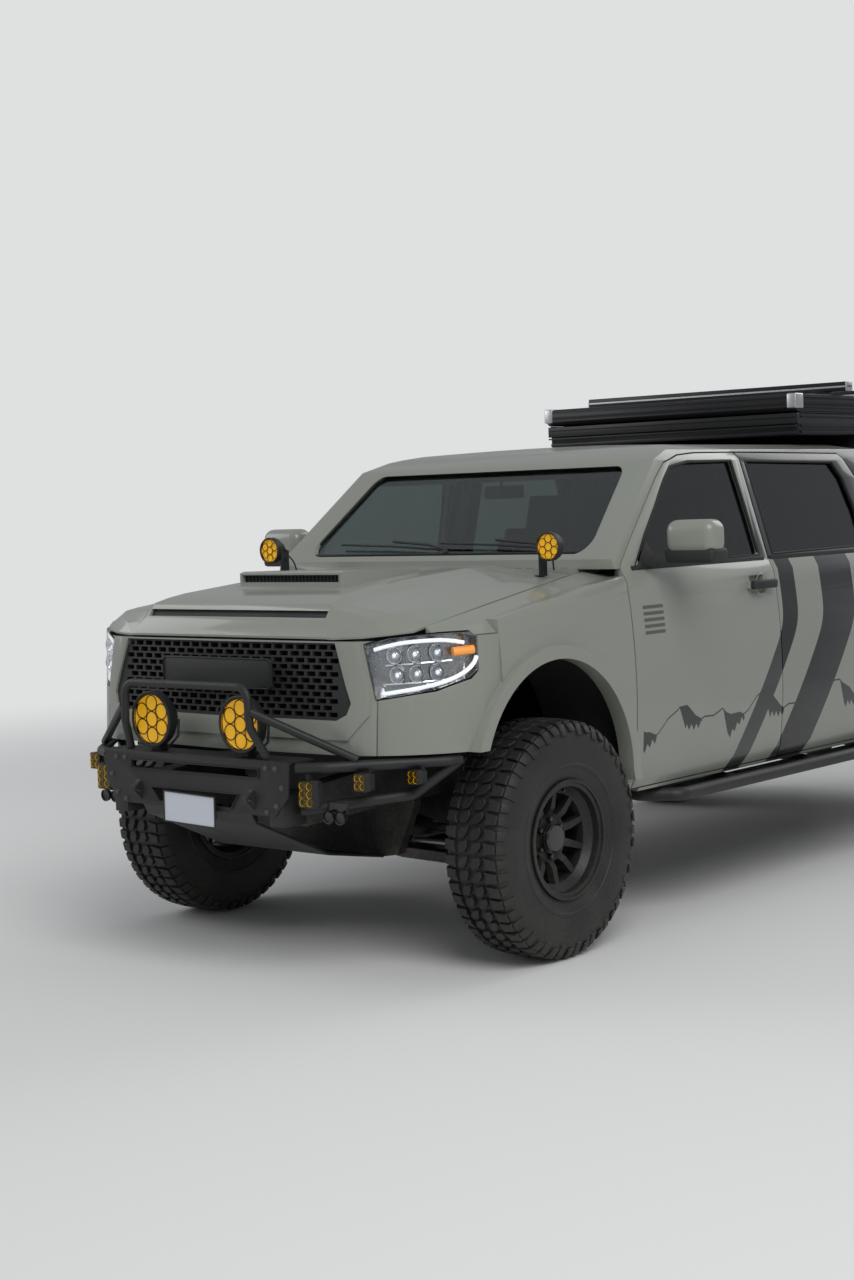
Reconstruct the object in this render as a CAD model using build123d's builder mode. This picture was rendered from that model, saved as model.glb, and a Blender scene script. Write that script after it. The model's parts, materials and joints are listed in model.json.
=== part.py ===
from build123d import *
import os

# Lifted crew-cab pickup with a wedge camper. Millimetres, +Z up, nose towards -Y, left side +X.
# The origin is on the ground, in the middle of the length and of the width.

# Wheels and track
WHEELBASE = 3700
TRACK_HALF = 926
TYRE_RADIUS = 470
TYRE_HALF = 148
TREAD_DEPTH = 15
LUG_COUNT = 11
RIM_RADIUS = 236
RIM_HALF = 131
WHEEL_FACE = -11
HUB_RADIUS = 60
DISC_RADIUS = 172
DISC_INNER_FACE = 800
DISC_THICKNESS = 24
SPOKE_COUNT = 10

# Lengths behind the front axle
FRONT_REACH = 1030
COWL = 505
HEADER = 985
DOOR_FRONT = 552
DOOR_SPLIT = 1720
DOOR_REAR = 2780
CAB_BACK = 2950
BED_GAP = 25
BED_LENGTH = 1830
BUMPER_DEPTH = 75

# Body side, as half-widths and heights
SILL = (962, 575)
SILL_TOP = (992, 645)
FLANK = (1012, 1060)
SHOULDER = (976, 1445)
BELT = (950, 1492)
CANT_RAIL = (836, 1945)
ROOF_EDGE = (796, 1992)
ROOF_SHOULDER = (690, 2018)
ROOF_TOP = 2034
HEADER_HEIGHT = 1948
COWL_HEIGHT = 1540
CAB_FLOOR = 800
CAB_UNDERSIDE = 762
TUNNEL_HALF = 800

# Wall thicknesses and gaps
DOOR_DEPTH = 85
FRAME_DEPTH = 45
CAB_WALL = 100
ROOF_WALL = 40
SKIN = 55
PANEL_GAP = 8
SEAT_GAP = 0.3
GLASS = 6
GLASS_INSET = 16

# Front end
ARCH_RADIUS = 485
ARCH_HEIGHT = 690
ARCH_FOOT = 528
FLARE_WIDTH = 52
FLARE_OUT = 1034
ARCH_LIP = 980
TYRE_ROOM = 25
LINER_RADIUS = 548
LINER_WALL = 6
NOSE_BOTTOM = 868
NOSE_TOP = 1300
NOSE_CORNER = 1000
FASCIA_HALF = 738
GRILLE_BAR = 7

# Hood
HOOD_THICKNESS = 30
HOOD_HINGE = 425
HOOD_HINGE_HEIGHT = 1478

# Chassis
RAIL_X = 430
RAIL_WIDTH = 80
KINGPIN_X = 735
BALL_LOW = 372
BALL_HIGH = 735
STEER_ARM = 150
RACK_HEIGHT = 440

# Bed and camper
BED_FLOOR = 906
BED_INNER = 844
BED_TOP = 1470
BED_WALL = 50
CAMPER_HALF = 740
TENT_FRONT = 2345
TENT_BOTTOM = 2066
TENT_SPLIT = 2177
TENT_TOP = 2262
TENT_WALL = 22
CAMPER_POST = 50

TOTAL_LENGTH = FRONT_REACH + CAB_BACK + BED_GAP + BED_LENGTH + BUMPER_DEPTH
FRONT_AXLE = FRONT_REACH - TOTAL_LENGTH / 2
REAR_AXLE = FRONT_AXLE + WHEELBASE
BED_FRONT = CAB_BACK + BED_GAP
BED_REAR = BED_FRONT + BED_LENGTH
RAIL_IN = RAIL_X - RAIL_WIDTH / 2
RAIL_OUT = RAIL_X + RAIL_WIDTH / 2

pieces = {}


def keep(name, part):
    """Labels a finished piece and stores it for export."""
    part.label = name
    pieces[name] = part


def back(distance):
    """Y of a place given as its distance behind the front axle."""
    return FRONT_AXLE + distance


PI = 3.14159265


def side_prism(points, near, far, mode=Mode.ADD, radius=0):
    """Prism of a side-view outline (distance behind the axle, height) between two half-widths."""
    with BuildSketch(Plane.YZ.offset(near)) as outline:
        with BuildLine():
            Polyline(*[(back(d), z) for d, z in points], close=True)
        make_face()
        if radius:
            fillet(outline.vertices(), radius)
    extrude(outline.sketch, amount=far - near, mode=mode)


def front_prism(points, front, rear, mode=Mode.ADD, radius=0):
    """Prism of a front-view outline (x, height) between two distances behind the axle."""
    with BuildSketch(Plane.XZ.offset(-back(rear))) as outline:
        with BuildLine():
            Polyline(*points, close=True)
        make_face()
        if radius:
            fillet(outline.vertices(), radius)
    extrude(outline.sketch, amount=rear - front, mode=mode)


def plan_prism(points, low, high, mode=Mode.ADD, radius=0):
    """Prism of a plan outline (x, distance behind the axle) between two heights."""
    with BuildSketch(Plane.XY.offset(low)) as outline:
        with BuildLine():
            Polyline(*[(x, back(d)) for x, d in points], close=True)
        make_face()
        if radius:
            fillet(outline.vertices(), radius)
    extrude(outline.sketch, amount=high - low, mode=mode)


def block(x, d, z, mode=Mode.ADD):
    """Box between pairs of limits: x, distance behind the front axle and height."""
    with Locations(((x[0] + x[1]) / 2, back((d[0] + d[1]) / 2), (z[0] + z[1]) / 2)):
        Box(x[1] - x[0], d[1] - d[0], z[1] - z[0], mode=mode)


def rod(start, end, radius, mode=Mode.ADD, tip=None):
    """Round bar, or a cone to the tip radius, between two points (x, distance behind the axle, z)."""
    first = Vector(start[0], back(start[1]), start[2])
    last = Vector(end[0], back(end[1]), end[2])
    run = last - first
    with BuildSketch(Plane(origin=first, z_dir=run)) as foot:
        Circle(radius)
    if tip is None:
        extrude(foot.sketch, amount=run.length, mode=mode)
    else:
        with BuildSketch(Plane(origin=last, z_dir=run)) as head:
            Circle(tip)
        loft([foot.sketch, head.sketch], mode=mode)


def tube(points, radius, bend):
    """Bent round tube through corner points (x, distance behind the axle, z)."""
    with BuildLine() as route:
        FilletPolyline(*[(x, back(d), z) for x, d, z in points], radius=bend)
    for run in route.wire().edges():
        start = run @ 0
        ahead = run % 0
        with BuildSketch(Plane(origin=start, z_dir=ahead)) as ring:
            Circle(radius)
        if run.geom_type == GeomType.LINE:
            extrude(ring.sketch, amount=run.length)
        else:
            middle = run.arc_center
            revolve(ring.sketch, axis=Axis(middle, (start - middle).cross(ahead)),
                    revolution_arc=run.length / bend * 180 / PI)


def mirrored(points):
    """Front-view outline turned over to the right side."""
    return [(-x, z) for x, z in points]


def grown(points, amount):
    """Front-view outline drawn out from its own middle by about an amount."""
    x_mid = (max(p[0] for p in points) + min(p[0] for p in points)) / 2
    z_mid = (max(p[1] for p in points) + min(p[1] for p in points)) / 2
    return [(x + amount * (1 if x > x_mid else -1), z + amount * (1 if z > z_mid else -1)) for x, z in points]


def side_line(low, high):
    """Left body side from sill to roof edge, moved inboard by low under the belt and by high over it."""
    sill = (SILL[0] - low, SILL[1])
    sill_top = (SILL_TOP[0] - low, SILL_TOP[1])
    shoulder = (SHOULDER[0] - low, SHOULDER[1])
    belt = (BELT[0] - high, BELT[1])
    rail = (CANT_RAIL[0] - high, CANT_RAIL[1])
    edge = (ROOF_EDGE[0] - high, ROOF_EDGE[1])
    Line(sill, sill_top)
    ThreePointArc(sill_top, (FLANK[0] - low, FLANK[1]), shoulder)
    Polyline(shoulder, belt, rail, edge)
    return sill, edge


def body_section(rear, low, high, roof):
    """Sketch of the whole cross-section of the body at one station, with its walls taken off."""
    with BuildSketch(Plane.XZ.offset(-back(rear))) as section:
        with BuildLine():
            sill, edge = side_line(low, high)
            shoulder = (ROOF_SHOULDER[0] - high, ROOF_SHOULDER[1] - roof)
            Line(edge, shoulder)
            crown = (ROOF_TOP - roof - shoulder[1]) * 3 / 4
            ThreePointArc(shoulder, (shoulder[0] / 2, shoulder[1] + crown), (0, ROOF_TOP - roof))
            Polyline((0, ROOF_TOP - roof), (0, sill[1]), sill)
        make_face()
        mirror(about=Plane.YZ)
    return section.sketch


def side_band(rear, depth_low, depth_high):
    """Sketch of the wall of the left body side, from the skin inboard, at one station."""
    with BuildSketch(Plane.XZ.offset(-back(rear))) as band:
        with BuildLine():
            sill, edge = side_line(0, 0)
            inner_sill, inner_edge = side_line(depth_low, depth_high)
            Line(sill, inner_sill)
            Line(edge, inner_edge)
        make_face()
    return band.sketch


def cab_profile(grow):
    """Side silhouette of the cab with its sloping windscreen line, grown inwards by a wall."""
    return [
        (DOOR_FRONT + 60 + grow, SILL[1] - 10),
        (DOOR_FRONT + 60 + grow, 660),
        (DOOR_FRONT + PANEL_GAP + grow, 720),
        (DOOR_FRONT + PANEL_GAP + grow, 1340),
        (COWL + grow, 1420),
        (COWL + grow, COWL_HEIGHT - grow * 0.3),
        (HEADER + grow * 1.4, HEADER_HEIGHT - grow * 0.1),
        (HEADER + 190 + grow, ROOF_EDGE[1] + 12),
        (HEADER + 420, ROOF_TOP + 5),
        (CAB_BACK - 330, ROOF_TOP + 5),
        (CAB_BACK - grow, ROOF_EDGE[1] - 10),
        (CAB_BACK - grow, SILL[1] - 10),
    ]


# Door outlines, as distance behind the front axle and height
DOOR_FOOT = 590
SPLIT_LEAN = 45
FRONT_DOOR = [
    (DOOR_FRONT, DOOR_FOOT),
    (DOOR_FRONT, BELT[1] + 22),
    (663, 1615),
    (831, 1758),
    (960, 1869),
    (1052, 1936),
    (1190, 1968),
    (1340, 1978),
    (DOOR_SPLIT - SPLIT_LEAN, 1980),
    (DOOR_SPLIT, BELT[1]),
    (DOOR_SPLIT, DOOR_FOOT),
]
REAR_DOOR = [
    (DOOR_SPLIT, DOOR_FOOT),
    (DOOR_SPLIT, BELT[1]),
    (DOOR_SPLIT - SPLIT_LEAN, 1980),
    (DOOR_REAR - 160, 1972),
    (DOOR_REAR - 60, 1850),
    (DOOR_REAR, 1600),
    (DOOR_REAR, DOOR_FOOT),
]
FRONT_WINDOW = [(655, 1505), (780, 1630), (905, 1745), (1010, 1850), (1090, 1915), (1240, 1937),
                (1602, 1940), (1632, 1720), (1652, 1512)]
REAR_WINDOW = [(1768, 1512), (1752, 1720), (1722, 1938), (2520, 1928), (2590, 1850), (2640, 1690),
               (2662, 1520)]
WINDOW_ROUND = 22


def door_outline(outline, gap):
    """Door outline drawn in by half of the panel gap all round."""
    with BuildSketch(Plane.YZ) as opening:
        with BuildLine():
            Polyline(*[(back(d), z) for d, z in outline], close=True)
        make_face()
        if gap:
            offset(amount=-gap, kind=Kind.INTERSECTION, mode=Mode.REPLACE)
    return opening.sketch


def window_outline(outline, gap):
    """Rounded window outline, drawn in by a gap."""
    with BuildSketch(Plane.YZ) as opening:
        with BuildLine():
            Polyline(*[(back(d), z) for d, z in outline], close=True)
        make_face()
        fillet(opening.vertices(), WINDOW_ROUND)
        if gap:
            offset(amount=-gap, mode=Mode.REPLACE)
    return opening.sketch


# Cab: hollow shell with door, windscreen and rear-window openings
WINDSCREEN = [(800, COWL_HEIGHT + 22), (705, HEADER_HEIGHT - 22), (-705, HEADER_HEIGHT - 22),
              (-800, COWL_HEIGHT + 22)]
REAR_LIGHT = [(600, 1530), (545, 1890), (-545, 1890), (-600, 1530)]

with BuildPart() as cab_hollow:
    extrude(body_section(CAB_BACK - SKIN, CAB_WALL, FRAME_DEPTH + 5, ROOF_WALL), amount=CAB_BACK - COWL)
    side_prism(cab_profile(SKIN), -1100, 1100, Mode.INTERSECT)
    block((-1100, 1100), (COWL, CAB_BACK), (CAB_FLOOR, ROOF_TOP), Mode.INTERSECT)

with BuildPart() as cab_shell:
    extrude(body_section(CAB_BACK, 0, 0, 0), amount=CAB_BACK - COWL)
    side_prism(cab_profile(0), -1100, 1100, Mode.INTERSECT)
    add(cab_hollow.part, mode=Mode.SUBTRACT)
    block((-TUNNEL_HALF, TUNNEL_HALF), (COWL - 10, CAB_BACK + 10), (500, CAB_UNDERSIDE), Mode.SUBTRACT)
    for outline in (FRONT_DOOR, REAR_DOOR):
        extrude(door_outline(outline, PANEL_GAP / 2 - 6), amount=1100, both=True, mode=Mode.SUBTRACT)
    block((-(BELT[0] - CAB_WALL), BELT[0] - CAB_WALL), (DOOR_FRONT, DOOR_REAR),
          (CAB_UNDERSIDE, CAB_FLOOR))
    for side in (-1, 1):
        low, high = sorted((side * 766, side * 1100))
        block((low, high), (COWL - 10, DOOR_FRONT + PANEL_GAP), (1300, 1500), Mode.SUBTRACT)
    block((-765, 765), (COWL - 18, COWL + 2), (1425, 1505))
    front_prism(WINDSCREEN, COWL - 20, HEADER + 30, Mode.SUBTRACT, 60)
    front_prism(REAR_LIGHT, CAB_BACK - 100, CAB_BACK + 10, Mode.SUBTRACT, 50)
    for side in (-1, 1):
        x_low = side * (BELT[0] - DOOR_DEPTH - 60)
        x_high = side * (BELT[0] - DOOR_DEPTH - 12)
        low_edge = [(x_low, CAB_UNDERSIDE), (x_high, CAB_UNDERSIDE), (x_high, BELT[1] - 30),
                    (side * (ROOF_EDGE[0] - 62), ROOF_EDGE[1] - 20),
                    (side * (ROOF_EDGE[0] - 110), ROOF_EDGE[1] - 20), (x_low, BELT[1] - 30)]
        front_prism(low_edge, DOOR_SPLIT - 60, DOOR_SPLIT + 30)
keep("cab_shell", cab_shell.part)


# Doors with their glass and mirrors; the right side mirrors the left
MIRROR_OUT = 1281
DOORS = [
    ("front", FRONT_DOOR, FRONT_WINDOW, DOOR_FRONT, DOOR_SPLIT),
    ("rear", REAR_DOOR, REAR_WINDOW, DOOR_SPLIT - 60, DOOR_REAR),
]
HANDLE_HEIGHT = 1385
HANDLE_LENGTH = 190
DOOR_STEP = 24

for name, outline, window, start, end in DOORS:
    with BuildPart() as door_skin:
        extrude(side_band(end, DOOR_DEPTH / 2, FRAME_DEPTH / 2), amount=end - start)
        extrude(door_outline(outline, PANEL_GAP / 2), amount=1100, mode=Mode.INTERSECT)
    with BuildPart() as door:
        extrude(side_band(end, DOOR_DEPTH, FRAME_DEPTH), amount=end - start)
        extrude(door_outline(outline, DOOR_STEP), amount=1100, mode=Mode.INTERSECT)
        add(door_skin.part)
        extrude(window_outline(window, 0), amount=1100, mode=Mode.SUBTRACT)
        handle_end = end - 65
        block((FLANK[0] - 30, FLANK[0] + 22), (handle_end - HANDLE_LENGTH, handle_end),
              (HANDLE_HEIGHT - 15, HANDLE_HEIGHT + 15))
        block((FLANK[0] - 60, FLANK[0] + 8), (handle_end - HANDLE_LENGTH + 35, handle_end - 35),
              (HANDLE_HEIGHT - 40, HANDLE_HEIGHT + 40), Mode.SUBTRACT)
        block((FLANK[0] - 4, FLANK[0] + 22), (handle_end - HANDLE_LENGTH, handle_end),
              (HANDLE_HEIGHT - 15, HANDLE_HEIGHT + 15))
    with BuildPart() as pane:
        with BuildSketch(Plane.XZ.offset(-back(end))):
            with BuildLine():
                Polyline((BELT[0] - GLASS_INSET, BELT[1]), (CANT_RAIL[0] - GLASS_INSET, CANT_RAIL[1]),
                         (CANT_RAIL[0] - GLASS_INSET - GLASS, CANT_RAIL[1]),
                         (BELT[0] - GLASS_INSET - GLASS, BELT[1]), close=True)
            make_face()
        extrude(amount=end - start)
        extrude(window_outline(window, SEAT_GAP), amount=1100, mode=Mode.INTERSECT)
    for side, facing in (("left", 1), ("right", -1)):
        with BuildPart() as fitted_door:
            if facing > 0:
                add(door.part)
            else:
                mirror(door.part, about=Plane.YZ)
        with BuildPart() as fitted_pane:
            if facing > 0:
                add(pane.part)
            else:
                mirror(pane.part, about=Plane.YZ)
        keep(f"door_{name}_{side}", fitted_door.part)
        keep(f"glass_{name}_{side}", fitted_pane.part)

with BuildPart() as mirror_left:
    front_prism([(1045, 1522), (1048, 1672), (1120, 1692), (MIRROR_OUT - 10, 1672), (MIRROR_OUT, 1540),
                 (MIRROR_OUT - 40, 1512)], 728, 858, radius=28)
    chamfer(mirror_left.edges().group_by(Axis.Y)[0], 26)
    front_prism([(950.4, 1494), (933.6, 1560), (1060, 1548), (1060, 1512), (1010, 1494)], 690, 760)
for side, facing in (("left", 1), ("right", -1)):
    with BuildPart() as fitted_mirror:
        if facing > 0:
            add(mirror_left.part)
        else:
            mirror(mirror_left.part, about=Plane.YZ)
    keep(f"mirror_{side}", fitted_mirror.part)

# Fixed glass: windscreen and rear window
SLOPE = (HEADER - COWL) / (HEADER_HEIGHT - COWL_HEIGHT)
with BuildPart() as windscreen:
    front_prism(grown(WINDSCREEN, -SEAT_GAP), COWL - 50, HEADER + 50, radius=60)
    rise = HEADER_HEIGHT + 60 - COWL_HEIGHT
    side_prism([(COWL + 24, COWL_HEIGHT), (COWL + 24 + GLASS * 1.4, COWL_HEIGHT),
                (COWL + 24 + GLASS * 1.4 + SLOPE * rise, COWL_HEIGHT + rise),
                (COWL + 24 + SLOPE * rise, COWL_HEIGHT + rise)], -1000, 1000, Mode.INTERSECT)
with BuildPart() as fixed_glass:
    add(windscreen.part)
    front_prism(grown(REAR_LIGHT, -SEAT_GAP), CAB_BACK - 26, CAB_BACK - 20, radius=50)
keep("fixed_glass", fixed_glass.part)

# Inside of the cab
DRIVER_X = 380
with BuildPart() as dashboard:
    side_prism([(COWL + 90, 1180), (COWL + 95, 1478), (COWL + 180, 1505), (COWL + 330, 1478),
                (COWL + 380, 1400), (COWL + 350, 1270), (COWL + 300, 1180)], -790, 790)
    block((-130, 130), (COWL + 120, COWL + 900), (CAB_FLOOR, 1120))
    block((-110, 110), (COWL + 250, COWL + 330), (1120, 1200))
keep("dashboard", dashboard.part)

SEATS = [(DRIVER_X, 500, 1180, 1010), (-DRIVER_X, 500, 1180, 1010)]
with BuildPart() as seats:
    for x, width, front, height in SEATS:
        side_prism([(front, height), (front + 30, height + 110), (front + 480, height + 90),
                    (front + 650, height + 640), (front + 740, height + 640), (front + 600, height)],
                    x - width / 2, x + width / 2, radius=20)
        side_prism([(front + 655, height + 640), (front + 700, height + 800), (front + 770, height + 800),
                    (front + 740, height + 630)], x - 130, x + 130)
        block((x - 180, x + 180), (front + 80, front + 520), (CAB_FLOOR, height))
    side_prism([(2230, 990), (2240, 1110), (2640, 1090), (2720, 1640), (2790, 1640), (2760, 990)], -690, 690,
               radius=20)
    block((-640, 640), (2300, 2700), (CAB_FLOOR, 990))
keep("seats", seats.part)

WHEEL_RIM = 188
COLUMN_FOOT = (DRIVER_X, COWL + 352, 1300)
COLUMN_HEAD = (DRIVER_X, COWL + 520, 1372)
with BuildPart() as steering_wheel:
    first = Vector(COLUMN_FOOT[0], back(COLUMN_FOOT[1]), COLUMN_FOOT[2])
    last = Vector(COLUMN_HEAD[0], back(COLUMN_HEAD[1]), COLUMN_HEAD[2])
    column = last - first
    tilt = Plane(origin=last, x_dir=(1, 0, 0), z_dir=column)
    start = column.normalized() * 30
    with BuildSketch(Plane(origin=first + start, z_dir=column)):
        Circle(26)
    extrude(amount=column.length - 30)
    with BuildSketch(tilt):
        Circle(62)
        Rectangle(2 * WHEEL_RIM - 20, 34)
    extrude(amount=22)
    with BuildSketch(tilt):
        Circle(WHEEL_RIM)
        Circle(WHEEL_RIM - 28, mode=Mode.SUBTRACT)
    extrude(amount=28)
keep("steering_wheel", steering_wheel.part)

# Front panels. The nose is lofted between a low and a high plan outline
NOSE_LOW = {"front": -838, "corner": (640, -800), "cheek": (870, -655), "side": (1000, -440)}
NOSE_HIGH = {"front": -786, "corner": (610, -765), "cheek": (862, -640), "side": (996, -430)}


def nose_outline(height, shape, wall):
    """Plan outline of the nose at a height, drawn in by a wall."""
    with BuildSketch(Plane.XY.offset(height)) as outline:
        with BuildLine():
            corner = (shape["corner"][0] - wall * 0.35, back(shape["corner"][1] + wall))
            cheek = (shape["cheek"][0] - wall * 0.75, back(shape["cheek"][1] + wall * 0.7))
            side = (shape["side"][0] - wall, back(shape["side"][1]))
            Line((0, back(shape["front"] + wall)), corner)
            ThreePointArc(corner, cheek, side)
            Polyline(side, (side[0], back(-330)), (0, back(-330)), (0, back(shape["front"] + wall)))
        make_face()
        mirror(about=Plane.YZ)
    return outline.sketch


LAMP_REAR = -455
HEADLAMP = [(690, 1276), (777, 1300), (900, 1312), (960, 1312), (1010, 1282), (1010, 1216), (975, 1143),
            (905, 1104), (737, 1074)]
GRILLE = [(-573, 1284), (573, 1284), (652, 1062), (636, 1020), (586, 996), (-586, 996), (-636, 1020),
          (-652, 1062)]
with BuildPart() as nose:
    loft([nose_outline(NOSE_BOTTOM, NOSE_LOW, 0), nose_outline(NOSE_TOP + 40, NOSE_HIGH, 0)], ruled=True)
with BuildPart() as nose_inside:
    loft([nose_outline(NOSE_BOTTOM - 1, NOSE_LOW, SKIN), nose_outline(NOSE_TOP + 41, NOSE_HIGH, SKIN)],
         ruled=True)


# Raised surround of the grille
SURROUND = [(-672, 1290), (672, 1290), (722, 1075), (716, 1015), (640, 925), (-640, 925), (-716, 1015),
            (-722, 1075)]
SURROUND_RISE = 10
with BuildPart() as surround:
    loft([nose_outline(NOSE_BOTTOM, NOSE_LOW, -SURROUND_RISE),
          nose_outline(NOSE_TOP + 40, NOSE_HIGH, -SURROUND_RISE)], ruled=True)
    front_prism(SURROUND, -900, -560, Mode.INTERSECT)

with BuildPart() as fascia:
    add(nose.part)
    add(surround.part)
    add(nose_inside.part, mode=Mode.SUBTRACT)
    block((-FASCIA_HALF, FASCIA_HALF), (-900, -560), (NOSE_BOTTOM, NOSE_TOP - 10), Mode.INTERSECT)
    front_prism(grown(HEADLAMP, 5), -900, LAMP_REAR + 5, Mode.SUBTRACT)
    front_prism(mirrored(grown(HEADLAMP, 5)), -900, LAMP_REAR + 5, Mode.SUBTRACT)
    front_prism(GRILLE, -900, -400, Mode.SUBTRACT)
keep("fascia", fascia.part)

GRILLE_ROWS = 11
GRILLE_COLUMNS = 22
GRILLE_HEIGHTS = (1004, 1280)
GRILLE_SPAN = 1240
GRILLE_EDGE = 618
GRILLE_LINK = 14
BADGE = (215, 1115, 1215)
with BuildPart() as grille:
    add(nose.part)
    front_prism(GRILLE, -860, -690, Mode.INTERSECT)
    add(nose_inside.part, mode=Mode.SUBTRACT)
    row_pitch = (GRILLE_HEIGHTS[1] - GRILLE_HEIGHTS[0]) / GRILLE_ROWS
    column_pitch = GRILLE_SPAN / GRILLE_COLUMNS
    with BuildSketch(Plane.XZ.offset(-back(-690))) as slots:
        for row in range(GRILLE_ROWS):
            z = GRILLE_HEIGHTS[0] + row_pitch * (row + 0.5)
            edge = min(GRILLE_EDGE, GRILLE_EDGE + 80 - (z - 1000) * 0.22)
            places = []
            for column in range(-GRILLE_COLUMNS // 2, GRILLE_COLUMNS // 2 + 2):
                x = (column + 0.5 * (row % 2)) * column_pitch
                badge = abs(x) < BADGE[0] and BADGE[1] < z < BADGE[2]
                if abs(x) + column_pitch / 2 < edge and not badge:
                    places.append((x, z))
            with Locations(*places):
                Rectangle(column_pitch - GRILLE_LINK, row_pitch - GRILLE_BAR)
    extrude(slots.sketch, amount=200, mode=Mode.SUBTRACT)
keep("grille", grille.part)

with BuildPart() as lamp_left:
    add(nose.part)
    add(nose_inside.part, mode=Mode.SUBTRACT)
    front_prism(HEADLAMP, -900, LAMP_REAR, Mode.INTERSECT)
with BuildPart() as headlamps:
    add(lamp_left.part)
    mirror(lamp_left.part, about=Plane.YZ)
keep("headlamps", headlamps.part)

# Hood stations: distance behind the axle, then x and height of the edge, the shoulder, the foot
# and the rim of the raised middle
HOOD = [
    (-782, 560, 1304, 548, 1305, 535, 1306, 500, 1307),
    (-745, 680, 1308, 612, 1340, 530, 1350, 500, 1362),
    (-700, 772, 1317, 690, 1372, 520, 1402, 488, 1424),
    (-640, 842, 1325, 735, 1386, 512, 1418, 470, 1442),
    (-560, 857, 1343, 755, 1395, 505, 1428, 458, 1456),
    (-200, 838, 1400, 715, 1440, 470, 1464, 425, 1492),
    (250, 806, 1462, 680, 1485, 425, 1506, 388, 1520),
    (HOOD_HINGE + 30, 760, 1480, 640, 1494, 420, 1512, 380, 1522),
]
HOOD_LIP = 8
HOOD_SLOT = (490, 1374, 1400)
SCOOP_HALF = 282
with BuildPart() as hood_rough:
    sections = []
    for d, edge_x, edge, shoulder_x, shoulder, foot_x, foot, rim_x, rim in HOOD:
        wall = HOOD_LIP if d == HOOD[0][0] else HOOD_THICKNESS
        with BuildSketch(Plane.XZ.offset(-back(d))) as section:
            with BuildLine():
                Polyline((0, rim), (rim_x, rim), (foot_x, foot), (shoulder_x, shoulder), (edge_x, edge),
                         (edge_x, edge - HOOD_LIP), (shoulder_x - 10, shoulder - wall),
                         (foot_x, foot - wall), (0, foot - wall), close=True)
            make_face()
            mirror(about=Plane.YZ)
        sections.append(section.sketch)
    loft(sections, ruled=True)
with BuildPart() as hood:
    add(hood_rough.part)
    block((-HOOD_SLOT[0], HOOD_SLOT[0]), (-800, -700), HOOD_SLOT[1:], Mode.SUBTRACT)
    side_prism([(-415, 1440), (-415, 1530), (-390, 1536), (60, 1525), (60, 1480), (-350, 1440)],
               -SCOOP_HALF, SCOOP_HALF)
    side_prism([(-430, 1493), (-430, 1522), (-340, 1522), (-340, 1493)], 14 - SCOOP_HALF, SCOOP_HALF - 14,
               Mode.SUBTRACT)
keep("hood", hood.part)

# Front wings with arch, flare and the corner of the nose

def arch_outline(radius, foot, drop):
    """Side view of a wheel arch: an arc over straight legs that open out towards the sill."""
    with BuildSketch(Plane.YZ) as outline:
        with BuildLine():
            ThreePointArc((-radius, ARCH_HEIGHT), (0, ARCH_HEIGHT + radius), (radius, ARCH_HEIGHT))
            Polyline((radius, ARCH_HEIGHT), (foot, ARCH_HEIGHT - drop), (-foot, ARCH_HEIGHT - drop),
                     (-radius, ARCH_HEIGHT))
        make_face()
    return outline.sketch


def arch_cut(axle, near, far, radius, foot, mode=Mode.SUBTRACT):
    """Cuts or adds the arch's prism between two half-widths at an axle."""
    shape = arch_outline(radius, foot, 200).moved(Location((near, axle, 0)))
    extrude(shape, amount=far - near, mode=mode)


with BuildPart() as wing_side:
    extrude(side_band(DOOR_FRONT - PANEL_GAP / 2, SKIN, SKIN), amount=DOOR_FRONT + 330)
    side_prism([(DOOR_FRONT, 590), (DOOR_FRONT, 1470), (250, 1440), (-330, 1350), (-330, 590)], 700, 1100,
               Mode.INTERSECT)
# Top of the wing: distance, then x and height of the hood gap, the shoulder and the side
WING_CROWN = [
    (DOOR_FRONT - PANEL_GAP / 2, 775, 1494, 944, 1458, 984, 1408),
    (250, 818, 1460, 944, 1424, 984, 1374),
    (-330, 856, 1378, 940, 1345, 984, 1300),
    (-480, 862, 1356, 925, 1330, 968, 1300),
    (-600, 866, 1338, 885, 1322, 912, 1300),
]
with BuildPart() as wing_top:
    faces = []
    for d, gap_x, gap_z, shoulder_x, shoulder_z, side_x, side_z in WING_CROWN:
        with BuildSketch(Plane.XZ.offset(-back(d))) as section:
            with BuildLine():
                Polyline((gap_x, gap_z), (shoulder_x, shoulder_z), (side_x, side_z),
                         (side_x - 20, side_z - 20), (gap_x, gap_z - SKIN), close=True)
            make_face()
        faces.append(section.sketch)
    loft(faces, ruled=True)
with BuildPart() as nose_corner:
    add(nose.part)
    add(nose_inside.part, mode=Mode.SUBTRACT)
    block((FASCIA_HALF + 5, 1050), (-760, -330), (NOSE_BOTTOM, NOSE_TOP - 4), Mode.INTERSECT)
    front_prism(grown(HEADLAMP, 5), -900, LAMP_REAR + 5, Mode.SUBTRACT)
with BuildPart() as wing_left:
    add(wing_side.part)
    add(wing_top.part)
    add(nose_corner.part)
    front_prism(grown(HEADLAMP, 5), -900, LAMP_REAR + 5, Mode.SUBTRACT)
    arch_cut(FRONT_AXLE, 700, 1100, ARCH_RADIUS, ARCH_FOOT)
    arch_cut(FRONT_AXLE, 700, ARCH_LIP, ARCH_RADIUS + TYRE_ROOM, ARCH_FOOT + TYRE_ROOM)
with BuildPart() as flare:
    arch_cut(0, FLARE_OUT - 70, FLARE_OUT, ARCH_RADIUS + FLARE_WIDTH, ARCH_FOOT + FLARE_WIDTH, Mode.ADD)
    arch_cut(0, FLARE_OUT - 80, FLARE_OUT + 10, ARCH_RADIUS, ARCH_FOOT)
    block((900, 1100), (-1000 - FRONT_AXLE, 1000 - FRONT_AXLE), (400, 640), Mode.SUBTRACT)


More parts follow.
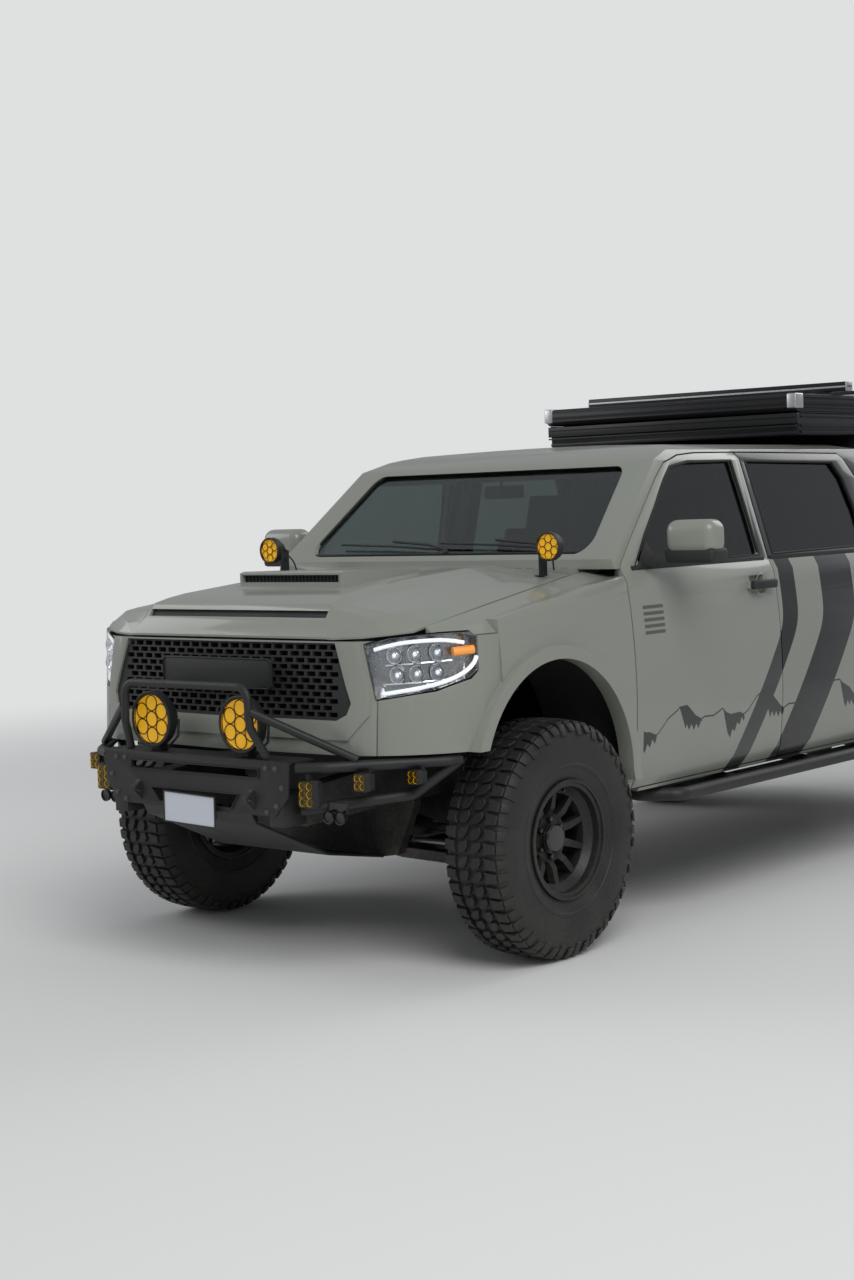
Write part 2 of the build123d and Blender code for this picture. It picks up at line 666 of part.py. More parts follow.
with BuildPart() as front_wings:
    add(wing_left.part)
    add(flare.part.moved(Location((0, FRONT_AXLE, 0))))
    block((800, 1100), (-900, -300), (400, NOSE_BOTTOM), Mode.SUBTRACT)
    mirror(about=Plane.YZ)
keep("front_wings", front_wings.part)

with BuildPart() as arch_liners:
    arch_cut(FRONT_AXLE, 560, 930, LINER_RADIUS + LINER_WALL, LINER_RADIUS + LINER_WALL, Mode.ADD)
    arch_cut(FRONT_AXLE, 550, 940, LINER_RADIUS, LINER_RADIUS)
    block((500, 1000), (-600, 600), (400, 700), Mode.SUBTRACT)
    block((500, 1000), (-600, -400), (700, 905), Mode.SUBTRACT)
    plan_prism([(830, -600), (1000, -600), (1000, -370), (935, -370)], 700, 1300, Mode.SUBTRACT)
    mirror(about=Plane.YZ)
keep("arch_liners", arch_liners.part)

# Ladder frame: distance behind the front axle, underside and top of the rails
RAIL = [
    (-860, 600, 740),
    (-420, 620, 780),
    (320, 620, 780),
    (620, 556, 730),
    (CAB_BACK, 556, 730),
    (WHEELBASE - 540, 690, 850),
    (WHEELBASE + 430, 690, 850),
    (BED_REAR - 30, 650, 790),
]
# Crossmembers: place, underside, top and depth
CROSSMEMBERS = [
    (-760, 640, 720, 70),
    (1000, 560, 600, 120),
    (1900, 690, 728, 70),
    (CAB_BACK - 200, 690, 728, 70),
    (WHEELBASE - 330, 740, 820, 70),
    (WHEELBASE + 190, 740, 850, 60),
    (BED_REAR - 90, 680, 780, 90),
]
DROP_PLATE = (195, 235)
SHAFT_X = -60
with BuildPart() as frame_ladder:
    side_prism([(d, low) for d, low, high in RAIL] + [(d, high) for d, low, high in reversed(RAIL)],
               RAIL_IN, RAIL_OUT)
    mirror(about=Plane.YZ)
    for d, low, high, depth in CROSSMEMBERS:
        block((-RAIL_IN, RAIL_IN), (d - depth / 2, d + depth / 2), (low, high))
    for near, far in ((DROP_PLATE[0], DROP_PLATE[1]), (-DROP_PLATE[1], -DROP_PLATE[0])):
        front_prism([(-RAIL_OUT, 700), (-RAIL_OUT, 600), (-372, 388), (-300, 376), (300, 376), (372, 388),
                     (RAIL_OUT, 600), (RAIL_OUT, 700), (300, 700), (300, 630), (-300, 630), (-300, 700)],
                     near, far)
    rod((SHAFT_X, DROP_PLATE[0] - 20, 480), (SHAFT_X, DROP_PLATE[1] + 20, 500), 75, Mode.SUBTRACT)
    for side in (-1, 1):
        tower = [(side * RAIL_IN, 779), (side * RAIL_OUT, 779), (side * RAIL_OUT, 955), (side * 600, 972),
                 (side * 600, 1000), (side * RAIL_IN, 1000)]
        front_prism(tower, 20, 140)
        block((side * 640 if side < 0 else RAIL_OUT, -RAIL_OUT if side < 0 else 640), (680, 720), (600, 660))
keep("frame_ladder", frame_ladder.part)

with BuildPart() as engine_block:
    side_prism([(-430, 700), (-430, 1230), (-380, 1290), (240, 1290), (330, 1200), (330, 700), (250, 650),
                (-330, 650)],
               -280, 280)
keep("engine_block", engine_block.part)

GEARBOX_END = 900
# Gearbox rings: distance behind the axle, height and radius
GEARBOX = [(330, 720, 175), (520, 672, 92), (GEARBOX_END, 668, 86)]
CASE_END = 1150
PROP_HEIGHT = 690
with BuildPart() as driveline:
    cases = []
    for d, z, radius in GEARBOX:
        with BuildSketch(Plane.XZ.offset(-back(d))) as ring:
            with Locations((0, z)):
                RegularPolygon(radius, 8, rotation=22.5)
        cases.append(ring.sketch)
    loft(cases, ruled=True)
    block((-250, 120), (GEARBOX_END, CASE_END), (600, 752))
    rod((0, CASE_END, PROP_HEIGHT), (0, WHEELBASE - 304, 490), 42)
    rod((-190, GEARBOX_END, 660), (SHAFT_X, 176, 490), 27)
    rod((SHAFT_X, 176, 490), (SHAFT_X, 90, 480), 50)
    rod((SHAFT_X - 75, 0, TYRE_RADIUS), (SHAFT_X + 75, 0, TYRE_RADIUS), 118)
    rod((-280, 0, TYRE_RADIUS), (280, 0, TYRE_RADIUS), 38)
    rod((-688, 0, TYRE_RADIUS), (688, 0, TYRE_RADIUS), 17)
    for side in (-1, 1):
        rod((side * 280, 0, TYRE_RADIUS), (side * 370, 0, TYRE_RADIUS), 44, tip=26)
        rod((side * 590, 0, TYRE_RADIUS), (side * 660, 0, TYRE_RADIUS), 26, tip=42)
keep("driveline", driveline.part)

HUB_END = TRACK_HALF + WHEEL_FACE - SEAT_GAP
SPRING_X = 540
with BuildPart() as rear_axle:
    with BuildSketch(Plane.XY.offset(TYRE_RADIUS)) as housing:
        with BuildLine():
            Polyline((-HUB_END, back(WHEELBASE)), (-HUB_END, back(WHEELBASE + HUB_RADIUS)),
                     (-770, back(WHEELBASE + HUB_RADIUS)), (-770, back(WHEELBASE + 42)),
                     (-200, back(WHEELBASE + 42)), (-110, back(WHEELBASE + 145)),
                     (110, back(WHEELBASE + 145)), (200, back(WHEELBASE + 42)), (770, back(WHEELBASE + 42)),
                     (770, back(WHEELBASE + HUB_RADIUS)), (HUB_END, back(WHEELBASE + HUB_RADIUS)),
                     (HUB_END, back(WHEELBASE)), close=True)
        make_face()
    revolve(housing.sketch, axis=Axis((0, REAR_AXLE, TYRE_RADIUS), (1, 0, 0)))
    rod((0, WHEELBASE - 90, 472), (0, WHEELBASE - 300, 490), 100, tip=52)
    for side in (-1, 1):
        low, high = sorted((side * (SPRING_X - 35), side * (SPRING_X + 35)))
        block((low, high), (WHEELBASE - 60, WHEELBASE + 60), (480, 520 - SEAT_GAP))
        low, high = sorted((side * 350, side * 420))
        block((low, high), (WHEELBASE + 20, WHEELBASE + 110), (440, 470))
keep("rear_axle", rear_axle.part)

SPRING_FRONT = WHEELBASE - 660
SPRING_REAR = WHEELBASE + 700
with BuildPart() as leaf_springs:
    with BuildSketch(Plane.YZ.offset(SPRING_X - 35)) as leaves:
        with BuildLine():
            ThreePointArc((back(SPRING_FRONT), 640), (back(WHEELBASE), 520), (back(SPRING_REAR), 640))
            Line((back(SPRING_REAR), 640), (back(SPRING_REAR), 652))
            Polyline((back(SPRING_REAR), 652), (back(WHEELBASE + 430), 604), (back(WHEELBASE + 430), 596),
                     (back(WHEELBASE + 300), 576), (back(WHEELBASE + 300), 568))
            ThreePointArc((back(WHEELBASE + 300), 568), (back(WHEELBASE), 548), (back(WHEELBASE - 300), 568))
            Polyline((back(WHEELBASE - 300), 568), (back(WHEELBASE - 300), 576), (back(WHEELBASE - 430), 598),
                     (back(WHEELBASE - 430), 606), (back(SPRING_FRONT), 652), (back(SPRING_FRONT), 640))
        make_face()
    extrude(leaves.sketch, amount=70)
    rod((SPRING_X - 35, SPRING_FRONT, 652), (SPRING_X + 35, SPRING_FRONT, 652), 28)
    rod((SPRING_X - 35, SPRING_REAR, 652), (SPRING_X + 35, SPRING_REAR, 652), 28)
    block((RAIL_OUT, SPRING_X + 40), (SPRING_FRONT - 40, SPRING_FRONT + 40), (652, 790))
    block((RAIL_OUT, SPRING_X + 40), (SPRING_REAR - 30, SPRING_REAR + 30), (652, 745))
    block((SPRING_X - 40, SPRING_X + 40), (WHEELBASE - 50, WHEELBASE + 50), (548, 566))
    mirror(about=Plane.YZ)
keep("leaf_springs", leaf_springs.part)

# Front suspension arms: both sides lie between the chassis and the swivel joints
LOWER_PIVOT = 340
with BuildPart() as control_arms:
    lower_run = Vector(KINGPIN_X - LOWER_PIVOT, 0, -52)
    lower = Plane(origin=(LOWER_PIVOT, FRONT_AXLE, 396), x_dir=lower_run,
                  z_dir=(52, 0, KINGPIN_X - LOWER_PIVOT))
    with BuildSketch(lower) as arm:
        with BuildLine():
            span = lower_run.length - 28
            barrel = DROP_PLATE[0] - SEAT_GAP
            Polyline((-24, -barrel), (24, -barrel), (span, -40), (span, 40), (24, barrel), (-24, barrel),
                     close=True)
        make_face()
        with BuildLine():
            Polyline((50, -115), (150, -82), (150, -30), (50, -30), close=True)
        make_face(mode=Mode.SUBTRACT)
    extrude(arm.sketch, amount=21, both=True)
    rod((KINGPIN_X, 0, 318), (KINGPIN_X, 0, BALL_LOW - SEAT_GAP), 32)
    with BuildSketch(Plane.XY.offset(752)) as wishbone:
        with BuildLine():
            Polyline((RAIL_OUT, back(-225)), (RAIL_OUT, back(-185)), (KINGPIN_X - 35, back(-26)),
                     (KINGPIN_X - 35, back(26)), (RAIL_OUT, back(185)), (RAIL_OUT, back(225)),
                     (KINGPIN_X, back(42)), (KINGPIN_X, back(-42)), close=True)
        make_face()
    extrude(wishbone.sketch, amount=28)
    rod((KINGPIN_X, 0, BALL_HIGH + SEAT_GAP), (KINGPIN_X, 0, 790), 26)
    mirror(about=Plane.YZ)
keep("control_arms", control_arms.part)

DAMPER_D = 80
with BuildPart() as dampers:
    rod((551, DAMPER_D, 395), (535, DAMPER_D, 560), 24)
    with BuildSketch(Plane.XZ.offset(-back(DAMPER_D))) as coil:
        with BuildLine():
            pitch = 54
            ridge = [(535, 560)]
            for turn in range(7):
                ridge += [(535 + 34, 560 + pitch * turn), (535 + 50, 560 + pitch * (turn + 0.5))]
            ridge += [(535 + 34, 560 + pitch * 7), (535, 560 + pitch * 7)]
            Polyline(*ridge, close=True)
        make_face()
    revolve(coil.sketch, axis=Axis((535, back(DAMPER_D), 0), (0, 0, 1)))
    rod((535, DAMPER_D, 560 + 54 * 7), (535, DAMPER_D, 954), 30)
    rod((385, WHEELBASE + 80, 485), (340, WHEELBASE + 172, 728), 32)
    mirror(about=Plane.YZ)
keep("dampers", dampers.part)

RACK_D = -STEER_ARM
RACK_RADIUS = 16
RUNNING_GAP = 0.08
HOUSING_HALF = 300
with BuildPart() as rack_housing:
    rod((-HOUSING_HALF, RACK_D, RACK_HEIGHT), (HOUSING_HALF, RACK_D, RACK_HEIGHT), 28)
    for x in (-220, 220):
        block((x - 22, x + 22), (-DROP_PLATE[0], RACK_D - 15), (RACK_HEIGHT - 15, RACK_HEIGHT + 15))
    rod((-HOUSING_HALF - 5, RACK_D, RACK_HEIGHT), (HOUSING_HALF + 5, RACK_D, RACK_HEIGHT),
        RACK_RADIUS + RUNNING_GAP, Mode.SUBTRACT)
keep("rack_housing", rack_housing.part)

with BuildPart() as steering_link:
    rod((-390, RACK_D, RACK_HEIGHT), (390, RACK_D, RACK_HEIGHT), RACK_RADIUS)
    rod((-720, RACK_D, RACK_HEIGHT), (720, RACK_D, RACK_HEIGHT), 11)
    for side in (-1, 1):
        rod((side * 725, RACK_D, RACK_HEIGHT - 16), (side * 725, RACK_D, RACK_HEIGHT + 12), 20)
keep("steering_link", steering_link.part)

with BuildPart() as knuckle_left:
    front_prism([(712, BALL_LOW), (758, BALL_LOW), (772, 420), (772, 545), (756, 620), (752, BALL_HIGH),
                 (718, BALL_HIGH), (712, 620)], -28, 28)
    rod((772, 0, TYRE_RADIUS), (HUB_END, 0, TYRE_RADIUS), HUB_RADIUS)
    side_prism([(-28, 456), (-28, 486), (-STEER_ARM - 20, 480), (-STEER_ARM - 20, 457)], 712, 745)
    side_prism([(20, 440), (20, 500), (110, 512), (176, 512), (176, 428), (110, 428)], 760, 850)
    rod((DISC_INNER_FACE - 6, 0, TYRE_RADIUS), (DISC_INNER_FACE + DISC_THICKNESS + 6, 0, TYRE_RADIUS),
        DISC_RADIUS + 6, Mode.SUBTRACT)
    side_prism([(60, 400), (60, 540), (105, 540), (105, 400)], DISC_INNER_FACE + DISC_THICKNESS, 900,
               Mode.SUBTRACT)
    rod((772, 0, TYRE_RADIUS), (HUB_END, 0, TYRE_RADIUS), HUB_RADIUS)
with BuildPart() as knuckle_right:
    mirror(knuckle_left.part, about=Plane.YZ)
keep("knuckle_left", knuckle_left.part)
keep("knuckle_right", knuckle_right.part)

# Wheel, drawn on the X axis with its outer face towards +X
# Rim barrel: distance in from the edge, drop from the rim's radius
BARREL = [(0, 0), (8, 0), (9, 17), (38, 19), (66, 42)]
LIP_WALL = 11
with BuildPart() as wheel_rim:
    with BuildSketch(Plane.XZ) as section:
        with BuildLine():
            outer = [(RIM_HALF - a, RIM_RADIUS - b) for a, b in BARREL]
            outer += [(a - RIM_HALF, RIM_RADIUS - b) for a, b in reversed(BARREL)]
            inner = [(x, r - LIP_WALL) for x, r in reversed(outer)]
            Polyline(*(outer + inner), close=True)
        make_face()
        with BuildLine():
            Polyline((WHEEL_FACE, 0), (WHEEL_FACE, 86), (20, 118), (34, RIM_RADIUS - 48),
                     (66, RIM_RADIUS - 48), (52, 116), (26, 84), (26, 62), (50, 60), (50, 0), close=True)
        make_face()
        with BuildLine():
            disc = DISC_INNER_FACE - TRACK_HALF
            Polyline((disc, 78), (disc, DISC_RADIUS), (disc + DISC_THICKNESS, DISC_RADIUS),
                     (disc + DISC_THICKNESS, 88), (WHEEL_FACE, 86), (WHEEL_FACE, 76), close=True)
        make_face()
    revolve(section.sketch, axis=Axis.X)
    with BuildSketch(Plane.YZ.offset(WHEEL_FACE - 4)) as windows:
        with PolarLocations(0, SPOKE_COUNT):
            with BuildLine(mode=Mode.PRIVATE) as pane:
                Polyline((96, -15), (RIM_RADIUS - 62, -44), (RIM_RADIUS - 56, 0), (RIM_RADIUS - 62, 44),
                         (96, 15), close=True)
            add(make_face(pane.line, mode=Mode.PRIVATE))
    extrude(windows.sketch, amount=100, mode=Mode.SUBTRACT)

# Tyre: stations across the tread, as distance out from the middle and radius
TREAD_RADIUS = TYRE_RADIUS - TREAD_DEPTH
TYRE_OUT = [(118, 240), (TYRE_HALF, 330), (TYRE_HALF - 10, 428), (TYRE_HALF - 28, TREAD_RADIUS)]
TYRE_IN = [(100, 225), (TYRE_HALF - 14, 340), (TYRE_HALF - 44, TREAD_RADIUS - 16)]
TYRE_SIDES = 2 * LUG_COUNT
BEAD_DROP = 17


def tyre_body(stations):
    """Many-sided barrel lofted through mirrored stations across the tyre."""
    rings = []
    for x, radius in [(-x, r) for x, r in stations] + [(x, r) for x, r in reversed(stations)]:
        with BuildSketch(Plane.YZ.offset(x)) as ring:
            RegularPolygon(radius, TYRE_SIDES, major_radius=False)
        rings.append(ring.sketch)
    loft(rings, ruled=True)


# Lug rows: first and last distance from the middle, width round the tyre, turn as a share of the pitch
LUGS = [
    (66, TYRE_HALF - 30, 108, 0.0),
    (-TYRE_HALF + 30, -66, 108, 0.5),
    (6, 56, 96, 0.5),
    (-56, -6, 96, 0.0),
]
with BuildPart() as tyre_hollow:
    tyre_body(TYRE_IN)
with BuildPart() as tyre:
    tyre_body(TYRE_OUT)
    add(tyre_hollow.part, mode=Mode.SUBTRACT)
    with BuildSketch(Plane.YZ.offset(-TYRE_HALF)) as bore:
        RegularPolygon(RIM_RADIUS - BEAD_DROP + SEAT_GAP, TYRE_SIDES, major_radius=False)
    extrude(bore.sketch, amount=2 * TYRE_HALF, mode=Mode.SUBTRACT)
    for near, far, width, turn in LUGS:
        with BuildSketch(Plane.YZ.offset(near)) as lug_row:
            with PolarLocations((TREAD_RADIUS - 12 + TYRE_RADIUS) / 2, LUG_COUNT,
                                start_angle=-90 + turn * 360 / LUG_COUNT):
                Rectangle(TREAD_DEPTH + 12, width)
        extrude(lug_row.sketch, amount=far - near)
WHEELS = [("front_left", 1, FRONT_AXLE), ("front_right", -1, FRONT_AXLE), ("rear_left", 1, REAR_AXLE),
          ("rear_right", -1, REAR_AXLE)]
for name, side, axle in WHEELS:
    place = Location((side * TRACK_HALF, axle, TYRE_RADIUS))
    with BuildPart() as fitted_rim:
        add(wheel_rim.part.moved(place) if side > 0 else wheel_rim.part.mirror(Plane.YZ).moved(place))
    with BuildPart() as fitted_tyre:
        add(tyre.part.moved(place) if side > 0 else tyre.part.mirror(Plane.YZ).moved(place))
    keep(f"rim_{name}", fitted_rim.part)
    keep(f"tyre_{name}", fitted_tyre.part)

# Front bumper: folded plates and bent tubes
BUMPER_FACE = -985
PLATE_TOP = 858
PLATE_HALF = 512
# Shackle tabs: place, turn towards the middle, hole's radius and distance from the plate
TAB_X = 312
TAB_HEIGHT = 708
TAB_THICKNESS = 24
TAB_TOE = 4
TAB_HOLE = 9
TAB_REACH = 18
with BuildPart() as tab:
    with BuildSketch(Plane.YZ) as tab_side:
        with BuildLine():
            Polyline((4, -48), (-TAB_REACH, -22), (-2 * TAB_REACH, -10), (-2 * TAB_REACH, 14),
                     (-TAB_REACH, 24), (4, 40), close=True)
        make_face()
    extrude(tab_side.sketch, amount=TAB_THICKNESS / 2, both=True)
with BuildPart() as tab_hole:
    with BuildSketch(Plane.YZ) as hole:
        with Locations((-TAB_REACH, 0)):
            Circle(TAB_HOLE)
    extrude(hole.sketch, amount=TAB_THICKNESS, both=True)
with BuildPart() as bumper_plate:
    front_prism([(-PLATE_HALF, PLATE_TOP), (PLATE_HALF, PLATE_TOP), (500, 730), (430, 650), (-430, 650),
                 (-500, 730)],
                BUMPER_FACE, BUMPER_FACE + 8)
    plan_prism([(-PLATE_HALF, BUMPER_FACE), (PLATE_HALF, BUMPER_FACE), (PLATE_HALF, -850),
                (-PLATE_HALF, -850)],
               PLATE_TOP - 8, PLATE_TOP)
    front_prism([(-350, 792), (350, 792), (350, 822), (-350, 822)], BUMPER_FACE - 5, BUMPER_FACE + 12,
                Mode.SUBTRACT)
    front_prism([(-200, 668), (200, 668), (240, 720), (-240, 720)], BUMPER_FACE - 5, BUMPER_FACE + 12,
                Mode.SUBTRACT)
    for side in (-1, 1):
        low, high = sorted((side * (RAIL_IN + 4), side * (RAIL_OUT - 4)))
        block((low, high), (BUMPER_FACE + 8, -860), (610, 730))
        place = Location((side * TAB_X, back(BUMPER_FACE), TAB_HEIGHT), (0, 0, -side * TAB_TOE))
        add(tab.part.moved(place))
        add(tab_hole.part.moved(place), mode=Mode.SUBTRACT)
    side_prism([(BUMPER_FACE + 30, 612), (BUMPER_FACE + 36, 606), (-560, 430), (-240, 372), (-240, 380),
                (-560, 440), (BUMPER_FACE + 38, 616)], -300, 300)
    side_prism([(BUMPER_FACE + 2, 655), (BUMPER_FACE + 30, 606), (BUMPER_FACE + 38, 616),
                (BUMPER_FACE + 10, 660)],
               -300, 300)
keep("bumper_plate", bumper_plate.part)

TUBE = 20
HOOP_D = 16 - FRONT_REACH
with BuildPart() as bumper_tubes:
    tube([(-375, -962, 868), (-345, HOOP_D, 980), (-335, HOOP_D, 1132), (335, HOOP_D, 1132),
          (345, HOOP_D, 980), (375, -962, 868)], 16, 50)
    for side in (-1, 1):
        tube([(side * (PLATE_HALF + 7), -955, 834), (side * 620, -905, 836), (side * 925, -560, 838),
              (side * 940, -512, 838)], TUBE, 60)
        tube([(side * 484, -900, 668), (side * 800, -620, 712), (side * 935, -520, 832)], TUBE, 60)
        rod((side * 352, HOOP_D, 1040), (side * 700, -816, 858), 16)
keep("bumper_tubes", bumper_tubes.part)

# Bumper lamps: place (x, distance, height), half-width, half-height and bracket of each pod
ROUND_LAMP = 112
POD_ROUND = 12
PODS = [
    (560, -955, 738, 40, 52, (-944, -924)),
    (733, -850, 779, 30, 34, (-805, -770)),
    (862, -700, 788, 26, 26, (-655, -625)),
]
with BuildPart() as bumper_lamps:
    for side in (-1, 1):
        rod((side * 245, -975, 985), (side * 245, -915, 985), ROUND_LAMP)
        rod((side * 245, -915, 985), (side * 245, -880, 985), ROUND_LAMP, tip=60)
        block((side * 245 - 15, side * 245 + 15), (-940, -915), (PLATE_TOP, 880))
        for x, d, z, half, tall, bracket in PODS:
            middle = side * x
            block((middle - 7, middle + 7), bracket, (z + tall - 6, 838))
            front_prism([(middle - half, z - tall), (middle + half, z - tall), (middle + half, z + tall),
                         (middle - half, z + tall)], d, d + 60, radius=POD_ROUND)
    add(bumper_tubes.part, mode=Mode.SUBTRACT)
keep("bumper_lamps", bumper_lamps.part)

DITCH = (785, 300, 1602)
DITCH_RADIUS = 60
with BuildPart() as ditch_lamps:
    rod((DITCH[0], DITCH[1] - 30, DITCH[2]), (DITCH[0], DITCH[1] + 25, DITCH[2]), DITCH_RADIUS)
    rod((DITCH[0], DITCH[1] + 25, DITCH[2]), (DITCH[0], DITCH[1] + 50, DITCH[2]), DITCH_RADIUS, tip=30)
    block((DITCH[0] - 60, DITCH[0] - 52), (DITCH[1] - 10, DITCH[1] + 40), (1480, DITCH[2]))
    mirror(about=Plane.YZ)
keep("ditch_lamps", ditch_lamps.part)

# Side steps
STEP_X = 1022
STEP_HEIGHT = 535
with BuildPart() as side_steps:
    tube([(RAIL_OUT + 6, 765, 588), (860, 765, STEP_HEIGHT), (STEP_X, 850, STEP_HEIGHT),
          (STEP_X, 2640, STEP_HEIGHT), (860, 2740, STEP_HEIGHT), (RAIL_OUT + 6, 2740, 588)], 28, 60)
    for d in (1350, 2050):
        rod((RAIL_OUT + 6, d, 576), (STEP_X, d, STEP_HEIGHT), 20)
    for d in (770, 1350, 2050, 2740):
        block((RAIL_OUT, RAIL_OUT + 8), (d - 45, d + 45), (558, 598))
    plan_prism([(868, 870), (STEP_X, 920), (STEP_X, 2600), (868, 2650)], STEP_HEIGHT + 4, STEP_HEIGHT + 10)
    mirror(about=Plane.YZ)
keep("side_steps", side_steps.part)

# Tank, exhaust and spare wheel
with BuildPart() as fuel_tank:
    front_prism([(RAIL_OUT + 4, 600), (740, 600), (780, 640), (780, 755), (RAIL_OUT + 4, 755)], 1500, 2600)
    for d in (1700, 2400):
        block((RAIL_OUT, RAIL_OUT + 4), (d - 30, d + 30), (600, 720))
keep("fuel_tank", fuel_tank.part)

with BuildPart() as exhaust:
    tube([(-310, 250, 760), (-310, 420, 650), (-310, 1960, 650)], 29, 80)
    rod((-298, 1950, 645), (-298, 2560, 645), 80)
    tube([(-298, 2555, 640), (-298, 2800, 640), (-250, 3000, 640), (-250, 3560, 602), (-250, 3947, 602),
          (-640, 3947, 602), (-640, 4560, 602), (-760, 4720, 602), (-760, BED_REAR + 25, 602)], 28, 50)
keep("exhaust", exhaust.part)

with BuildPart() as spare_wheel:
    rod((0, WHEELBASE + 640, 480), (0, WHEELBASE + 640, 660), 350)
    rod((0, WHEELBASE + 640, 470), (0, WHEELBASE + 640, 560), 190, Mode.SUBTRACT)
    rod((0, WHEELBASE + 640, 470), (0, WHEELBASE + 640, 540), 35)
    block((-25, 25), (WHEELBASE + 615, WHEELBASE + 665), (660, 800))
    block((-RAIL_IN, RAIL_IN), (WHEELBASE + 610, WHEELBASE + 670), (760, 800))
keep("spare_wheel", spare_wheel.part)

# Load bed with arches, wheel houses and flares
HOUSE_X = 650
GATE_GAP = 6
GATE_THICKNESS = 62
with BuildPart() as bed:
    extrude(body_section(BED_REAR, 0, 0, 0), amount=BED_LENGTH)
    block((-1100, 1100), (BED_FRONT, BED_REAR), (SILL[1], BED_TOP), Mode.INTERSECT)
    block((-905, 905), (BED_FRONT - 5, BED_REAR + 5), (SILL[1] - 10, BED_FLOOR - 26), Mode.SUBTRACT)
    block((-BED_INNER, BED_INNER), (BED_FRONT + BED_WALL, BED_REAR + 5), (BED_FLOOR, BED_TOP + 5),
          Mode.SUBTRACT)
    block((-1100, 1100), (BED_REAR - 45, BED_REAR + 5), (SILL[1] - 10, 800), Mode.SUBTRACT)
    block((-BED_INNER - 2, BED_INNER + 2), (BED_REAR - GATE_THICKNESS - 6, BED_REAR + 5),
          (800, BED_FLOOR + 5), Mode.SUBTRACT)
    for side in (-1, 1):
        low, high = sorted((side * (HOUSE_X - 20), side * 940))
        arch_cut(REAR_AXLE, low, high, ARCH_RADIUS + 34, ARCH_RADIUS + 34, Mode.ADD)
    block((-1100, 1100), (BED_FRONT - 5, BED_REAR + 5), (400, SILL[1] + 60), Mode.SUBTRACT)
    for side in (-1, 1):
        add(flare.part.moved(Location((0, REAR_AXLE, 0))) if side > 0
            else flare.part.mirror(Plane.YZ).moved(Location((0, REAR_AXLE, 0))))
        low, high = sorted((side * HOUSE_X, side * 1100))
        arch_cut(REAR_AXLE, low, high, ARCH_RADIUS, ARCH_FOOT)
keep("bed", bed.part)

TAIL_LAMP = [(862, 1120), (862, 1432), (990, 1432), (1018, 1120)]
with BuildPart() as tail_lamps:
    front_prism(TAIL_LAMP, BED_REAR, BED_REAR + 22)
    mirror(about=Plane.YZ)
keep("tail_lamps", tail_lamps.part)

with BuildPart() as tailgate:
    front_prism([(-BED_INNER + GATE_GAP, BED_FLOOR + GATE_GAP), (BED_INNER - GATE_GAP, BED_FLOOR + GATE_GAP),
                 (BED_INNER - GATE_GAP, BED_TOP), (-BED_INNER + GATE_GAP, BED_TOP)],
                BED_REAR - GATE_THICKNESS, BED_REAR - 4, radius=12)
    front_prism([(-600, 1000), (600, 1000), (600, 1380), (-600, 1380)], BED_REAR - 10, BED_REAR - 3,
                Mode.SUBTRACT)
    front_prism([(-110, 1340), (110, 1340), (110, 1400), (-110, 1400)], BED_REAR - 24, BED_REAR - 3,
                Mode.SUBTRACT)
keep("tailgate", tailgate.part)

HITCH_HEIGHT = 590
with BuildPart() as rear_bumper:
    plan_prism([(-960, BED_REAR - 45), (-880, BED_REAR + BUMPER_DEPTH - 8), (-500, BED_REAR + BUMPER_DEPTH),
                (500, BED_REAR + BUMPER_DEPTH), (880, BED_REAR + BUMPER_DEPTH - 8), (960, BED_REAR - 45)],
                640, 790)
    block((-330, 330), (BED_REAR + 20, BED_REAR + BUMPER_DEPTH + 5), (660, 745), Mode.SUBTRACT)
    block((-1000, 1000), (BED_REAR - 50, BED_REAR - 28), (600, 800), Mode.SUBTRACT)
    block((-800, 800), (BED_REAR - 50, BED_REAR + 12), (600, 780), Mode.SUBTRACT)
    for side in (-1, 1):
        low, high = sorted((side * (RAIL_IN + 6), side * (RAIL_OUT - 6)))
        block((low, high), (BED_REAR - 30, BED_REAR + 12), (660, 780))
    block((-450, 450), (BED_REAR - 60, BED_REAR + 12), (560, 620))
    block((-40, 40), (BED_REAR - 108, BED_REAR + BUMPER_DEPTH), (HITCH_HEIGHT - 40, HITCH_HEIGHT + 40))
    block((-25.6, 25.6), (BED_REAR - 100, BED_REAR + BUMPER_DEPTH + 5),
          (HITCH_HEIGHT - 25.6, HITCH_HEIGHT + 25.6), Mode.SUBTRACT)
    block((-40, 40), (BED_REAR + 12, BED_REAR + BUMPER_DEPTH), (HITCH_HEIGHT + 40, 645))
keep("rear_bumper", rear_bumper.part)

